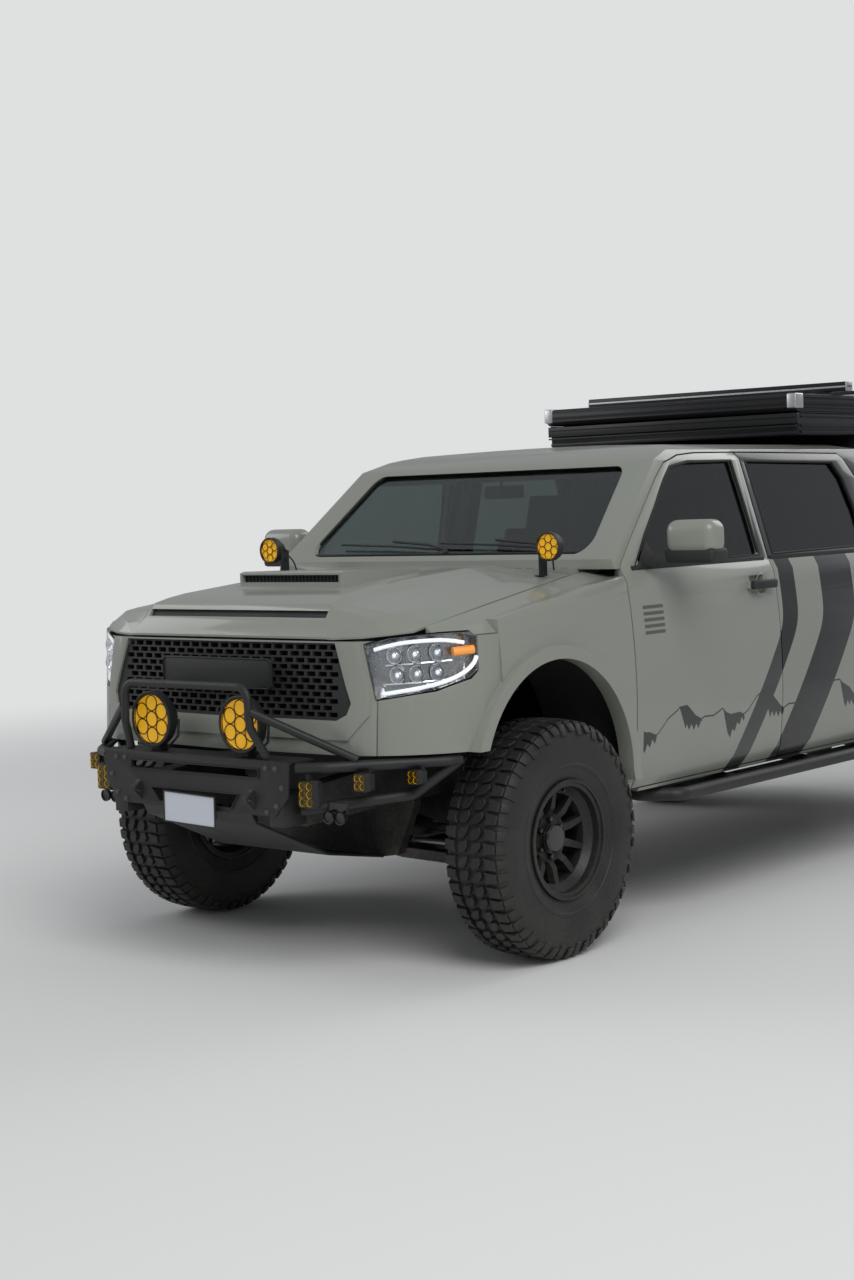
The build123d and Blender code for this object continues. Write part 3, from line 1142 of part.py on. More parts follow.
# Camper: frame on the bed rails, hinged side and rear hatches, tray and lid of the tent
CAMPER_BOTTOM = BED_TOP
CAMPER_FRONT = BED_FRONT + 20
CAMPER_REAR = BED_REAR - 20
SILL_RAIL = 60
with BuildPart() as camper_frame:
    for side in (-1, 1):
        lower = side * (BED_INNER + 26)
        upper = side * (CAMPER_HALF + 40)
        for d in (CAMPER_FRONT, CAMPER_REAR - CAMPER_POST):
            front_prism([(lower - side * 50, CAMPER_BOTTOM), (lower, CAMPER_BOTTOM), (upper, TENT_BOTTOM),
                         (upper - side * 50, TENT_BOTTOM)], d, d + CAMPER_POST)
        front_prism([(lower - side * 50, CAMPER_BOTTOM), (lower, CAMPER_BOTTOM),
                     (lower - side * 8, CAMPER_BOTTOM + SILL_RAIL),
                     (lower - side * 58, CAMPER_BOTTOM + SILL_RAIL)], CAMPER_FRONT, CAMPER_REAR)
        front_prism([(upper - side * 50, TENT_BOTTOM - 50), (upper + side * 7, TENT_BOTTOM - 50),
                     (upper, TENT_BOTTOM), (upper - side * 50, TENT_BOTTOM)], CAMPER_FRONT, CAMPER_REAR)
    front_prism([(-BED_INNER, CAMPER_BOTTOM), (BED_INNER, CAMPER_BOTTOM), (CAMPER_HALF + 10, TENT_BOTTOM),
                 (-CAMPER_HALF - 10, TENT_BOTTOM)], CAMPER_FRONT, CAMPER_FRONT + 20)
    block((-CAMPER_HALF, CAMPER_HALF), (CAMPER_REAR - CAMPER_POST, CAMPER_REAR),
          (TENT_BOTTOM - 50, TENT_BOTTOM))
keep("camper_frame", camper_frame.part)

HATCH_TOP = TENT_BOTTOM - 50 - 6
HATCH_BOTTOM = CAMPER_BOTTOM + SILL_RAIL + 6
HATCH_WALL = 22


def camper_line(z):
    """Outer half-width of the camper's leaning side at a height."""
    share = (z - CAMPER_BOTTOM) / (TENT_BOTTOM - CAMPER_BOTTOM)
    return BED_INNER + 26 + (CAMPER_HALF + 40 - BED_INNER - 26) * share


with BuildPart() as hatch_left:
    front_prism([(camper_line(HATCH_BOTTOM) - HATCH_WALL, HATCH_BOTTOM),
                 (camper_line(HATCH_BOTTOM), HATCH_BOTTOM), (camper_line(HATCH_TOP), HATCH_TOP),
                 (camper_line(HATCH_TOP) - HATCH_WALL, HATCH_TOP)],
                CAMPER_FRONT + CAMPER_POST + 6, CAMPER_REAR - CAMPER_POST - 6)
with BuildPart() as hatch_right:
    mirror(hatch_left.part, about=Plane.YZ)
keep("hatch_left", hatch_left.part)
keep("hatch_right", hatch_right.part)
with BuildPart() as hatch_rear:
    low_half = camper_line(BED_TOP + 12) - 62
    high_half = camper_line(HATCH_TOP) - 62
    front_prism([(-low_half, BED_TOP + 12), (low_half, BED_TOP + 12), (high_half, HATCH_TOP),
                 (-high_half, HATCH_TOP)],
                CAMPER_REAR - HATCH_WALL, CAMPER_REAR)
keep("hatch_rear", hatch_rear.part)

TENT_HALF = CAMPER_HALF
TENT_REAR = BED_REAR
with BuildPart() as tent_base:
    block((-TENT_HALF, TENT_HALF), (TENT_FRONT + 40, TENT_REAR), (TENT_BOTTOM, TENT_SPLIT - 6))
    block((-TENT_HALF + TENT_WALL, TENT_HALF - TENT_WALL),
          (TENT_FRONT + 40 + TENT_WALL, TENT_REAR - TENT_WALL), (TENT_BOTTOM + 30, TENT_SPLIT), Mode.SUBTRACT)
    block((-TENT_HALF - 6, TENT_HALF + 6), (TENT_FRONT + 20, TENT_FRONT + 40),
          (TENT_BOTTOM + 52, TENT_SPLIT - 6))
keep("tent_base", tent_base.part)
with BuildPart() as tent_lid:
    side_prism([(TENT_FRONT + 30, TENT_SPLIT), (TENT_FRONT, TENT_SPLIT + 20), (TENT_FRONT, TENT_TOP - 12),
                (TENT_FRONT + 12, TENT_TOP), (TENT_REAR, TENT_TOP), (TENT_REAR, TENT_SPLIT)], -TENT_HALF - 6,
                TENT_HALF + 6)
    block((-TENT_HALF + TENT_WALL, TENT_HALF - TENT_WALL),
          (TENT_FRONT + 40 + TENT_WALL, TENT_REAR - TENT_WALL), (TENT_SPLIT - 5, TENT_TOP - 25),
          Mode.SUBTRACT)
    for d in (2790, 3700, 4500):
        block((-780, 780), (d, d + 60), (TENT_TOP + 20, TENT_TOP + 66))
        for side in (-1, 1):
            low, high = sorted((side * 600, side * 660))
            block((low, high), (d, d + 60), (TENT_TOP, TENT_TOP + 20))
keep("tent_lid", tent_lid.part)

os.makedirs("parts", exist_ok=True)
for name, piece in pieces.items():
    export_step(piece, f"parts/{name}.step")
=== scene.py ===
import json
import math
from functools import partial

import bpy
from mathutils import Matrix, Vector

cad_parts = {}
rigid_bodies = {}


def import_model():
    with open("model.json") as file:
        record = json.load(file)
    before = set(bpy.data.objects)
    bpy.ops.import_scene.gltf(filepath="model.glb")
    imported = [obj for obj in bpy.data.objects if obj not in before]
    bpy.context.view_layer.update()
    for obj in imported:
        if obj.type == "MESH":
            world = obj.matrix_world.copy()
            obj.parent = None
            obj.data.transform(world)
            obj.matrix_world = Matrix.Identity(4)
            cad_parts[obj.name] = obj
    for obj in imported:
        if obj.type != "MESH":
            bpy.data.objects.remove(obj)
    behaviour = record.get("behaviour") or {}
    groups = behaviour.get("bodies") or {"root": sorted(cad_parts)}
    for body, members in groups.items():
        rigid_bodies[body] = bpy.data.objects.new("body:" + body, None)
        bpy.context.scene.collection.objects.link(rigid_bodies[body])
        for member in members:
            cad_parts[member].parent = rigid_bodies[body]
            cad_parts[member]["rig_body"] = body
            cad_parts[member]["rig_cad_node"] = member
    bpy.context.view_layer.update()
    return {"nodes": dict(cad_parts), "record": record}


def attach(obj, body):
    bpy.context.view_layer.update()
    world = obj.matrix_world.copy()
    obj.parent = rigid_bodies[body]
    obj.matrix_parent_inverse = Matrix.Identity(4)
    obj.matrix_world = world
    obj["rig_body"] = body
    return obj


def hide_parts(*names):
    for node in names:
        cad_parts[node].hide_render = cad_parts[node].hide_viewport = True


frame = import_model()
nodes = frame["nodes"]

# Everything is in metres: +Z up, the nose faces -Y and the left side is +X.
FRONT_AXLE = -1.925
WHEELBASE = 3.7
TRACK_HALF = 0.926
TYRE_RADIUS = 0.47


def back(distance):
    """Y of a place given as its distance behind the front axle."""
    return FRONT_AXLE + distance


def at(across, distance, height):
    """Place given as its distances across, behind the front axle and up."""
    return (across, back(distance), height)


REAR_FACE = back(4.805)
BELT_HEIGHT = 1.492
BELT_HALF = 0.950
ROOF_FRAME_TOP = 1.99


# Materials
def make_group(name, inputs, outputs):
    """Empty shader node group with named sockets."""
    group = bpy.data.node_groups.new(name, "ShaderNodeTree")
    for label, kind, value in inputs:
        socket = group.interface.new_socket(label, in_out="INPUT", socket_type=kind)
        socket.default_value = value
    for label, kind in outputs:
        group.interface.new_socket(label, in_out="OUTPUT", socket_type=kind)
    entry = group.nodes.new("NodeGroupInput")
    leave = group.nodes.new("NodeGroupOutput")
    return group, entry, leave


def add_node(tree, kind, inputs, **settings):
    """Node with its settings made; each input is linked to an output or set to a plain value."""
    node = tree.nodes.new(kind)
    for setting, value in settings.items():
        setattr(node, setting, value)
    for place, value in inputs.items():
        if isinstance(value, bpy.types.NodeSocket):
            tree.links.new(value, node.inputs[place])
        else:
            node.inputs[place].default_value = value
    return node


def math_node(tree, operation, *values, clamp=False):
    """Result of a math node whose inputs are outputs of nodes or numbers."""
    return add_node(tree, "ShaderNodeMath", dict(enumerate(values)), operation=operation,
                    use_clamp=clamp).outputs[0]


def map_range(tree, value, source, target=(0.0, 1.0), shape="LINEAR"):
    """Value moved from one range to another."""
    inputs = {"Value": value, "From Min": source[0], "From Max": source[1], "To Min": target[0],
              "To Max": target[1]}
    return add_node(tree, "ShaderNodeMapRange", inputs, interpolation_type=shape).outputs["Result"]


def ramp_between(tree, value, low, high):
    """Smooth step of a value from 0 at low to 1 at high."""
    return map_range(tree, value, (low, high), shape="SMOOTHSTEP")


def object_place(tree):
    """Object coordinates of the surface."""
    return tree.nodes.new("ShaderNodeTexCoord").outputs["Object"]


def noise_node(tree, scale, detail=4.0):
    """Noise on object coordinates."""
    inputs = {"Vector": object_place(tree), "Scale": scale, "Detail": detail}
    return add_node(tree, "ShaderNodeTexNoise", inputs).outputs["Fac"]


def mix_colours(tree, mask, first, second):
    """First colour where the mask is 0 and second colour where it is 1."""
    return add_node(tree, "ShaderNodeMix", {"Factor": mask, 6: first, 7: second}, data_type="RGBA").outputs[2]


def build_grain():
    """Fine surface grain as a value for roughness and bump."""
    group, entry, leave = make_group(
        "Fine Grain",
        [("Scale", "NodeSocketFloat", 400.0), ("Low", "NodeSocketFloat", 0.4),
         ("High", "NodeSocketFloat", 0.5)],
        [("Height", "NodeSocketFloat"), ("Roughness", "NodeSocketFloat")])
    calc = partial(math_node, group)
    fine = noise_node(group, entry.outputs["Scale"], 2.0)
    broad = noise_node(group, 3.0, 3.0)
    mixed = calc("MULTIPLY_ADD", broad, 0.6, calc("MULTIPLY", fine, 0.4))
    rough = map_range(group, mixed, (0.35, 0.65), (entry.outputs["Low"], entry.outputs["High"]))
    group.links.new(rough, leave.inputs["Roughness"])
    group.links.new(fine, leave.inputs["Height"])
    return group


def build_dust():
    """Road dust that thins out with height: mixes a dust colour over the given one."""
    group, entry, leave = make_group(
        "Road Dust",
        [("Colour", "NodeSocketColor", (0.2, 0.2, 0.2, 1)),
         ("Dust", "NodeSocketColor", (0.16, 0.145, 0.12, 1)),
         ("Top", "NodeSocketFloat", 1.2), ("Amount", "NodeSocketFloat", 0.3)],
        [("Colour", "NodeSocketColor"), ("Mask", "NodeSocketFloat")])
    calc = partial(math_node, group)
    split = add_node(group, "ShaderNodeSeparateXYZ", {0: object_place(group)})
    fall = map_range(group, split.outputs["Z"], (0.0, entry.outputs["Top"]), (1.0, 0.0))
    patches = ramp_between(group, noise_node(group, 6.0, 6.0), 0.3, 0.75)
    speckle = ramp_between(group, noise_node(group, 90.0, 3.0), 0.45, 0.7)
    cover = calc("MULTIPLY", fall, calc("MULTIPLY_ADD", speckle, 0.5, patches))
    mask = calc("MULTIPLY", cover, entry.outputs["Amount"], clamp=True)
    dusty = mix_colours(group, mask, entry.outputs["Colour"], entry.outputs["Dust"])
    group.links.new(dusty, leave.inputs["Colour"])
    group.links.new(mask, leave.inputs["Mask"])
    return group


GRAIN = build_grain()
DUST = build_dust()


def new_material(name, **inputs):
    """Material with a Principled shader whose inputs are set."""
    material = bpy.data.materials.new(name)
    material.use_nodes = True
    tree = material.node_tree
    tree.nodes.clear()
    named_inputs = {label.replace("_", " "): value for label, value in inputs.items()}
    shader = add_node(tree, "ShaderNodeBsdfPrincipled", named_inputs)
    add_node(tree, "ShaderNodeOutputMaterial", {"Surface": shader.outputs[0]})
    return material, tree, shader


def finish(name, colour, roughness=(0.4, 0.5), metallic=0.0, grain=400.0, bump=0.0, dust=0.0, top=1.2,
           coat=0.0, colour_socket=None):
    """Opaque surface with grain in its roughness and bump, and dust in its colour."""
    material, tree, shader = new_material(name, Base_Color=(*colour, 1), Metallic=metallic, Coat_Weight=coat,
                                          Coat_Roughness=0.08)
    surface = add_node(tree, "ShaderNodeGroup", {"Scale": grain, "Low": roughness[0], "High": roughness[1]},
                       node_tree=GRAIN)
    tree.links.new(surface.outputs["Roughness"], shader.inputs["Roughness"])
    if bump:
        height = add_node(tree, "ShaderNodeBump", {"Strength": bump, "Distance": 0.001,
                                                   "Height": surface.outputs["Height"]})
        tree.links.new(height.outputs[0], shader.inputs["Normal"])
    if dust or colour_socket:
        base = colour_socket(tree, colour) if colour_socket else (*colour, 1)
        layer = add_node(tree, "ShaderNodeGroup", {"Colour": base, "Top": top, "Amount": dust},
                         node_tree=DUST)
        tree.links.new(layer.outputs["Colour"], shader.inputs["Base Color"])
    return material


PAINT_COLOUR = (0.255, 0.27, 0.232)
STRIPE_COLOUR = (0.009, 0.01, 0.0105)
# Places of the side's graphics: spans along the truck are distances behind the front axle
DOOR_SKIN = (0.9, 1.2)
STRIPE_BEND = 1.2
STRIPE_LEAN = 0.79
STRIPES = ((1.757, 1.892), (2.125, 2.43))
RIDGE_SPAN = (0.60, 2.55)
RIDGE_BASE = 0.785
RIDGE_WAVES = ((0.31, 0.22), (0.173, 0.36), (0.071, 0.18))
RIDGE_LINE = 0.007
BAR_HEIGHTS = (1.215, 1.345)
BAR_SPAN = (0.64, 0.79)
BARS_PER_METRE = 38.0


def side_graphics(tree, colour):
    """Paint with two leaning stripes, a jagged ridge line, a small bar mark and dark upper rear frames."""
    calc = partial(math_node, tree)
    split = add_node(tree, "ShaderNodeSeparateXYZ", {0: object_place(tree)})
    across = calc("ABSOLUTE", split.outputs["X"])
    distance = calc("SUBTRACT", split.outputs["Y"], FRONT_AXLE)
    height = split.outputs["Z"]

    def inside(value, low, high, soft=0.0015):
        """Mask that is 1 where the value lies between low and high."""
        rise = ramp_between(tree, value, low - soft, low + soft)
        fall = ramp_between(tree, value, high - soft, high + soft)
        return calc("SUBTRACT", rise, fall, clamp=True)

    outer = inside(across, *DOOR_SKIN)
    below = calc("SUBTRACT", STRIPE_BEND, height)
    lean = calc("SMOOTH_MAX", below, 0.0, 0.12)
    line = calc("MULTIPLY_ADD", lean, STRIPE_LEAN, distance)
    first, second = (inside(line, *span) for span in STRIPES)
    stripes = calc("MULTIPLY", calc("MAXIMUM", first, second), outer)
    waves = None
    for length, share in RIDGE_WAVES:
        wave = calc("MULTIPLY", calc("PINGPONG", distance, length), share)
        waves = wave if waves is None else calc("ADD", waves, wave)
    top = calc("ADD", waves, RIDGE_BASE)
    depth = calc("SUBTRACT", top, height)
    slanted = calc("MULTIPLY_ADD", depth, -0.5, distance)
    cycle = calc("FRACT", calc("MULTIPLY", slanted, 1 / 0.346))
    falling = calc("GREATER_THAN", cycle, 0.5)
    taper = calc("MULTIPLY_ADD", cycle, -0.17, 0.17)
    ragged = calc("MULTIPLY_ADD", calc("PINGPONG", distance, 0.0185), 1.1, taper)
    thick = calc("MULTIPLY_ADD", falling, ragged, RIDGE_LINE)
    ridge = calc("MULTIPLY", ramp_between(tree, depth, -0.001, 0.001), calc("LESS_THAN", depth, thick))
    ridge = calc("MULTIPLY", ridge, inside(distance, *RIDGE_SPAN))
    ridge = calc("MULTIPLY", ridge, outer)
    rows = calc("FRACT", calc("MULTIPLY", height, BARS_PER_METRE))
    bars = calc("MULTIPLY", calc("GREATER_THAN", rows, 0.45), inside(height, *BAR_HEIGHTS))
    bars = calc("MULTIPLY", bars, inside(distance, *BAR_SPAN))
    bars = calc("MULTIPLY", calc("MULTIPLY", bars, outer), 0.7)
    upper = inside(height, BELT_HEIGHT, ROOF_FRAME_TOP)
    frame_mask = calc("MULTIPLY", upper, inside(across, 0.72, 1.0))
    frame_mask = calc("MULTIPLY", frame_mask, inside(distance, 1.655, 4.9))
    mask = frame_mask
    for layer in (stripes, ridge, bars):
        mask = calc("MAXIMUM", mask, layer)
    return mix_colours(tree, mask, (*colour, 1), (*STRIPE_COLOUR, 1))


def clear_material(name, colour, roughness=0.0, ior=1.45):
    """Clear or tinted glass."""
    return new_material(name, Base_Color=(*colour, 1), Transmission_Weight=1.0, Roughness=roughness,
                        IOR=ior)[0]


def glow_material(name, colour, strength):
    """Lit lamp surface."""
    return new_material(name, Base_Color=(*colour, 1), Emission_Color=(*colour, 1),
                        Emission_Strength=strength, Roughness=0.3)[0]


PAINT = finish("Satin cement paint", PAINT_COLOUR, (0.34, 0.42), grain=700, dust=0.2, top=1.1, coat=0.5)
SIDE_PAINT = finish("Satin cement paint with stripes", PAINT_COLOUR, (0.34, 0.42), grain=700, dust=0.2,
                    top=1.1, coat=0.5, colour_socket=side_graphics)
BLACK_COAT = finish("Textured black powder coat", (0.014, 0.0145, 0.015), (0.45, 0.6), grain=900, bump=0.25,
                    dust=0.18, top=1.0)
BLACK_PLASTIC = finish("Grained black plastic", (0.018, 0.018, 0.019), (0.55, 0.7), grain=1100, bump=0.3,
                       dust=0.12, top=1.0)
GLOSS_BLACK = finish("Gloss black plastic", (0.01, 0.01, 0.011), (0.12, 0.2), grain=200, coat=0.5)
RUBBER = finish("Black window rubber", (0.012, 0.012, 0.012), (0.6, 0.75), grain=500)
TYRE_RUBBER = finish("Tyre rubber", (0.012, 0.012, 0.012), (0.5, 0.66), grain=260, bump=0.3, dust=0.16,
                     top=1.3)
RIM_BLACK = finish("Matte black rim", (0.016, 0.016, 0.017), (0.4, 0.52), metallic=0.3, grain=800, bump=0.1,
                   dust=0.25, top=1.2)
BARE_STEEL = finish("Worn steel", (0.32, 0.31, 0.3), (0.35, 0.5), metallic=0.9, grain=120, dust=0.3, top=0.9)
CHASSIS_BLACK = finish("Chassis paint", (0.02, 0.02, 0.021), (0.5, 0.65), grain=300, bump=0.2, dust=0.6,
                       top=1.3)
IRON = finish("Cast iron", (0.1, 0.098, 0.095), (0.6, 0.75), metallic=0.4, grain=200, bump=0.4, dust=0.4)
ALLOY = finish("Bare aluminium", (0.55, 0.56, 0.57), (0.3, 0.42), metallic=1.0, grain=500)
DARK_ALLOY = finish("Black anodised aluminium", (0.022, 0.0225, 0.024), (0.32, 0.44), metallic=0.5, grain=900,
                    bump=0.08)
CAMPER_PANEL = finish("Black camper panel", (0.02, 0.0205, 0.022), (0.3, 0.42), grain=500, bump=0.05,
                      coat=0.2)
SEAT_CLOTH = finish("Dark seat cloth", (0.03, 0.03, 0.032), (0.8, 0.95), grain=900, bump=0.5)
CHROME = finish("Lamp reflector", (0.8, 0.81, 0.82), (0.08, 0.14), metallic=1.0, grain=100)
DARK_CHROME = finish("Smoked reflector", (0.26, 0.265, 0.27), (0.2, 0.3), metallic=0.9, grain=100)
PROJECTOR = finish("Projector eye", (0.5, 0.52, 0.55), (0.05, 0.1), metallic=0.8, grain=50, coat=1.0)
WHITE_PLATE = finish("White painted metal", (0.62, 0.66, 0.72), (0.35, 0.45), grain=200)
TENT_GREY = finish("Grey tent cloth", (0.2, 0.21, 0.215), (0.85, 0.95), grain=1500, bump=0.4)
WINDOW_GLASS = clear_material("Tinted glass", (0.1, 0.14, 0.14), ior=1.5)
SCREEN_GLASS = clear_material("Windscreen glass", (0.3, 0.36, 0.35), ior=1.5)
LENS = clear_material("Clear lens", (0.93, 0.95, 0.96), ior=1.3)
AMBER_LENS = clear_material("Yellow lens", (1.0, 0.86, 0.3), 0.02, ior=1.3)
RED_LENS = clear_material("Red lens", (0.6, 0.01, 0.01), 0.05, ior=1.35)
WHITE_GLOW = glow_material("White light bar", (0.9, 0.93, 0.97), 0.55)
AMBER_GLOW = glow_material("Amber marker", (0.9, 0.33, 0.06), 0.25)
YELLOW_GLOW = glow_material("Yellow reflector", (0.9, 0.56, 0.05), 0.22)


# Modelling helpers
def deselect():
    """Nothing is left selected."""
    if bpy.context.mode != "OBJECT":
        bpy.ops.object.mode_set(mode="OBJECT")
    bpy.ops.object.select_all(action="DESELECT")


def only(obj):
    """Selects one object and makes it active."""
    deselect()
    obj.select_set(True)
    bpy.context.view_layer.objects.active = obj


def named(name):
    """Names the object that was just added."""
    obj = bpy.context.active_object
    obj.name = name
    obj.data.name = name
    return obj


def settle(obj):
    """Puts the object's place, turn and size into its mesh."""
    only(obj)
    bpy.ops.object.transform_apply(location=True, rotation=True, scale=True)
    return obj


def open_mesh(obj):
    """Selects one object and opens its mesh with all of it selected."""
    only(obj)
    bpy.ops.object.mode_set(mode="EDIT")
    bpy.ops.mesh.select_all(action="SELECT")


def close_mesh():
    """Turns all faces outwards and leaves the mesh."""
    bpy.ops.mesh.select_all(action="SELECT")
    bpy.ops.mesh.normals_make_consistent(inside=False)
    bpy.ops.object.mode_set(mode="OBJECT")


def bevelled(obj, width, segments=2, angle=30):
    """Rounds the sharp edges."""
    only(obj)
    rounding = obj.modifiers.new("Rounded edges", "BEVEL")
    rounding.width = width
    rounding.segments = segments
    rounding.limit_method = "ANGLE"
    rounding.angle_limit = math.radians(angle)
    rounding.harden_normals = False
    bpy.ops.object.modifier_apply(modifier=rounding.name)
    return obj


def dress(obj, material, body, smooth=35):
    """Gives a piece its finish, its shading and the body that it rides on."""
    only(obj)
    if smooth:
        bpy.ops.object.shade_smooth_by_angle(angle=math.radians(smooth))
    obj.data.materials.clear()
    obj.data.materials.append(material)
    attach(obj, body)
    return obj


def joined(parts, name):
    """Joins meshes into one piece."""
    deselect()
    for part in parts:
        part.select_set(True)
    bpy.context.view_layer.objects.active = parts[0]
    bpy.ops.object.join()
    return named(name)


def copied(obj, name, matrix):
    """Copy with its own mesh, moved by a matrix and turned right side out if mirrored."""
    only(obj)
    bpy.ops.object.duplicate()
    twin = named(name)
    twin.parent = None
    twin.matrix_world = matrix
    settle(twin)
    if matrix.determinant() < 0:
        open_mesh(twin)
        close_mesh()
    return twin


MIRROR = Matrix.Scale(-1, 4, (1, 0, 0))


def block(name, low, high, edge=0.0, segments=2):
    """Box between two corners with rounded edges."""
    deselect()
    middle = (Vector(low) + Vector(high)) / 2
    size = Vector(high) - Vector(low)
    bpy.ops.mesh.primitive_cube_add(size=1, location=middle, scale=size)
    obj = settle(named(name))
    if edge:
        bevelled(obj, edge, segments)
    return obj


def block_row(name, places, half, low, high, edge=0.0):
    """Blocks at places across the truck, each between its low and its high (y, z) corner."""
    return [block(f"{name}_{number}", (x - half, *low), (x + half, *high), edge)
            for number, x in enumerate(places)]


def side_block(name, side, span, near, far, low, high, edge=0.0, segments=2):
    """Block on one side whose span is two distances from the middle."""
    left, right = sorted(side * distance for distance in span)
    return block(name, (left, near, low), (right, far, high), edge, segments)


def bar(name, start, end, radius, sides=24, edge=0.0):
    """Round bar between two points."""
    deselect()
    run = Vector(end) - Vector(start)
    turn = run.to_track_quat("Z", "Y").to_euler()
    bpy.ops.mesh.primitive_cylinder_add(vertices=sides, radius=radius, depth=run.length,
                                        location=(Vector(start) + Vector(end)) / 2, rotation=turn)
    obj = settle(named(name))
    if edge:
        bevelled(obj, edge, 2)
    return obj


def turned(name, centre, axis, profile, sides=48):
    """Round piece: a circle is extruded through the profile's (radius, distance along the axis) steps."""
    deselect()
    radius, along = profile[0]
    bpy.ops.mesh.primitive_circle_add(vertices=sides, radius=radius, location=(0, 0, along))
    obj = settle(named(name))
    open_mesh(obj)
    for next_radius, next_along in profile[1:]:
        bpy.ops.mesh.extrude_edges_move(TRANSFORM_OT_translate={"value": (0, 0, next_along - along)})
        if next_radius > 0:
            ratio = next_radius / radius
            bpy.ops.transform.resize(value=(ratio, ratio, 1), center_override=(0, 0, 0))
            radius = next_radius
        else:
            bpy.ops.mesh.merge(type="CENTER")
        along = next_along
    close_mesh()
    turn = Vector(axis).to_track_quat("Z", "Y").to_matrix().to_4x4()
    obj.matrix_world = Matrix.Translation(centre) @ turn
    return settle(obj)


def scaled(profile, radius, depth):
    """Profile for a round piece from shares of a radius and a depth."""
    return [(radius * wide, depth * along) for wide, along in profile]


def open_outline(name, corners):
    """Filled outline through corner points, with its mesh open."""
    deselect()
    bpy.ops.mesh.primitive_circle_add(vertices=len(corners), radius=1, fill_type="NGON")
    obj = named(name)
    for vertex, corner in zip(obj.data.vertices, corners):
        vertex.co = corner
    open_mesh(obj)
    return obj


def plate(name, corners, depth, edge=0.0):
    """Flat plate from corner points, made thick along the depth vector."""
    obj = open_outline(name, corners)
    bpy.ops.mesh.extrude_region_move(TRANSFORM_OT_translate={"value": depth})
    close_mesh()
    if edge:
        bevelled(obj, edge, 2)
    return obj


def pipe(name, points, radius, closed=False, smooth_line=False, sides=3):
    """Round tube along points, straight between them or on one smooth line."""
    deselect()
    data = bpy.data.curves.new(name, "CURVE")
    data.dimensions = "3D"
    data.bevel_depth = radius
    data.bevel_resolution = sides
    data.use_fill_caps = True
    line = data.splines.new("NURBS" if smooth_line else "POLY")
    line.points.add(len(points) - 1)
    for point, place in zip(line.points, points):
        point.co = (*place, 1)
    line.use_cyclic_u = closed
    if smooth_line:
        line.order_u = 3
        line.use_endpoint_u = not closed
        data.resolution_u = 6
    obj = bpy.data.objects.new(name, data)
    bpy.context.scene.collection.objects.link(obj)
    only(obj)
    bpy.ops.object.convert(target="MESH")
    return named(name)


def both_sides(obj, material, bodies, smooth=35):
    """Dresses a left piece and adds its mirrored right twin."""
    name = obj.name
    twin = copied(obj, name + "_right", MIRROR)
    obj.name = name + "_left"
    dress(twin, material, bodies[1], smooth)
    return dress(obj, material, bodies[0], smooth), twin


CHASSIS = ("chassis", "chassis")
HOOD = ("hood", "hood")
FRONT_DOORS = ("door_front_left", "door_front_right")


def node_copy(node, name):
    """Copy of a CAD node's mesh as a piece of its own."""
    only(nodes[node])
    bpy.ops.object.duplicate()
    obj = named(name)
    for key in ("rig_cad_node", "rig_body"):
        if key in obj:
            del obj[key]
    obj.parent = None
    obj.matrix_world = Matrix.Identity(4)
    return obj


def skin(node, name, material, width, segments=2, angle=28, smooth=30):
    """Copy of a CAD node with merged facets and rounded edges that stands for it."""
    obj = node_copy(node, name)
    open_mesh(obj)
    bpy.ops.mesh.remove_doubles(threshold=0.00002)
    bpy.ops.mesh.dissolve_limited(angle_limit=math.radians(0.6))
    bpy.ops.object.mode_set(mode="OBJECT")
    if width:
        bevelled(obj, width, segments, angle)
    body = next(b for b, members in frame["record"]["behaviour"]["bodies"].items() if node in members)
    dress(obj, material, body, smooth)
    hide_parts(node)
    return obj


# Body panels
CORNERS = ("front_left", "front_right", "rear_left", "rear_right")
PANELS = [("cab_shell", SIDE_PAINT, 0.006)]
PANELS += [("door_" + corner, SIDE_PAINT, 0.004) for corner in CORNERS]
PANELS += [("fascia", PAINT, 0.005), ("hood", PAINT, 0.006), ("front_wings", PAINT, 0.005),
           ("bed", SIDE_PAINT, 0.005), ("tailgate", PAINT, 0.005)]
for node, material, width in PANELS:
    rounding = 44 if node in ("cab_shell", "front_wings") else 30
    skin(node, node + "_skin", material, width, segments=3, smooth=rounding)
for node, material, slot, width in [
    ("bumper_plate", BLACK_COAT, "coated_steel", 0.002),
    ("rear_bumper", BLACK_COAT, "coated_steel", 0.004),
    ("tent_base", DARK_ALLOY, "camper", 0.003),
    ("tent_lid", DARK_ALLOY, "camper", 0.004),
    ("camper_frame", DARK_ALLOY, "camper", 0.003),
    ("hatch_left", CAMPER_PANEL, "camper", 0.003),
    ("hatch_right", CAMPER_PANEL, "camper", 0.003),
    ("hatch_rear", CAMPER_PANEL, "camper", 0.003),
    ("dashboard", BLACK_PLASTIC, "plastic", 0.012),
]:
    skin(node, node + "_finished", material, width)

for material, names in [
    (BLACK_PLASTIC, ("grille", "arch_liners", "fuel_tank", "steering_wheel")),
    (CHASSIS_BLACK, ("frame_ladder", "driveline", "rear_axle", "leaf_springs", "control_arms", "dampers")),
    (IRON, ("engine_block", "rack_housing", "knuckle_left", "knuckle_right")),
    (BARE_STEEL, ("steering_link", "exhaust")),
    (BLACK_COAT, ("bumper_tubes", "side_steps")),
    (SEAT_CLOTH, ("seats",)),
    (RED_LENS, ("tail_lamps",)),
    (TYRE_RUBBER, ("spare_wheel",)),
    (SCREEN_GLASS, ("fixed_glass",)),
    (WINDOW_GLASS, ["glass_" + corner for corner in CORNERS]),
    (RIM_BLACK, ["rim_" + corner for corner in CORNERS]),
]:
    for node in names:
        nodes[node].data.materials.clear()
        nodes[node].data.materials.append(material)


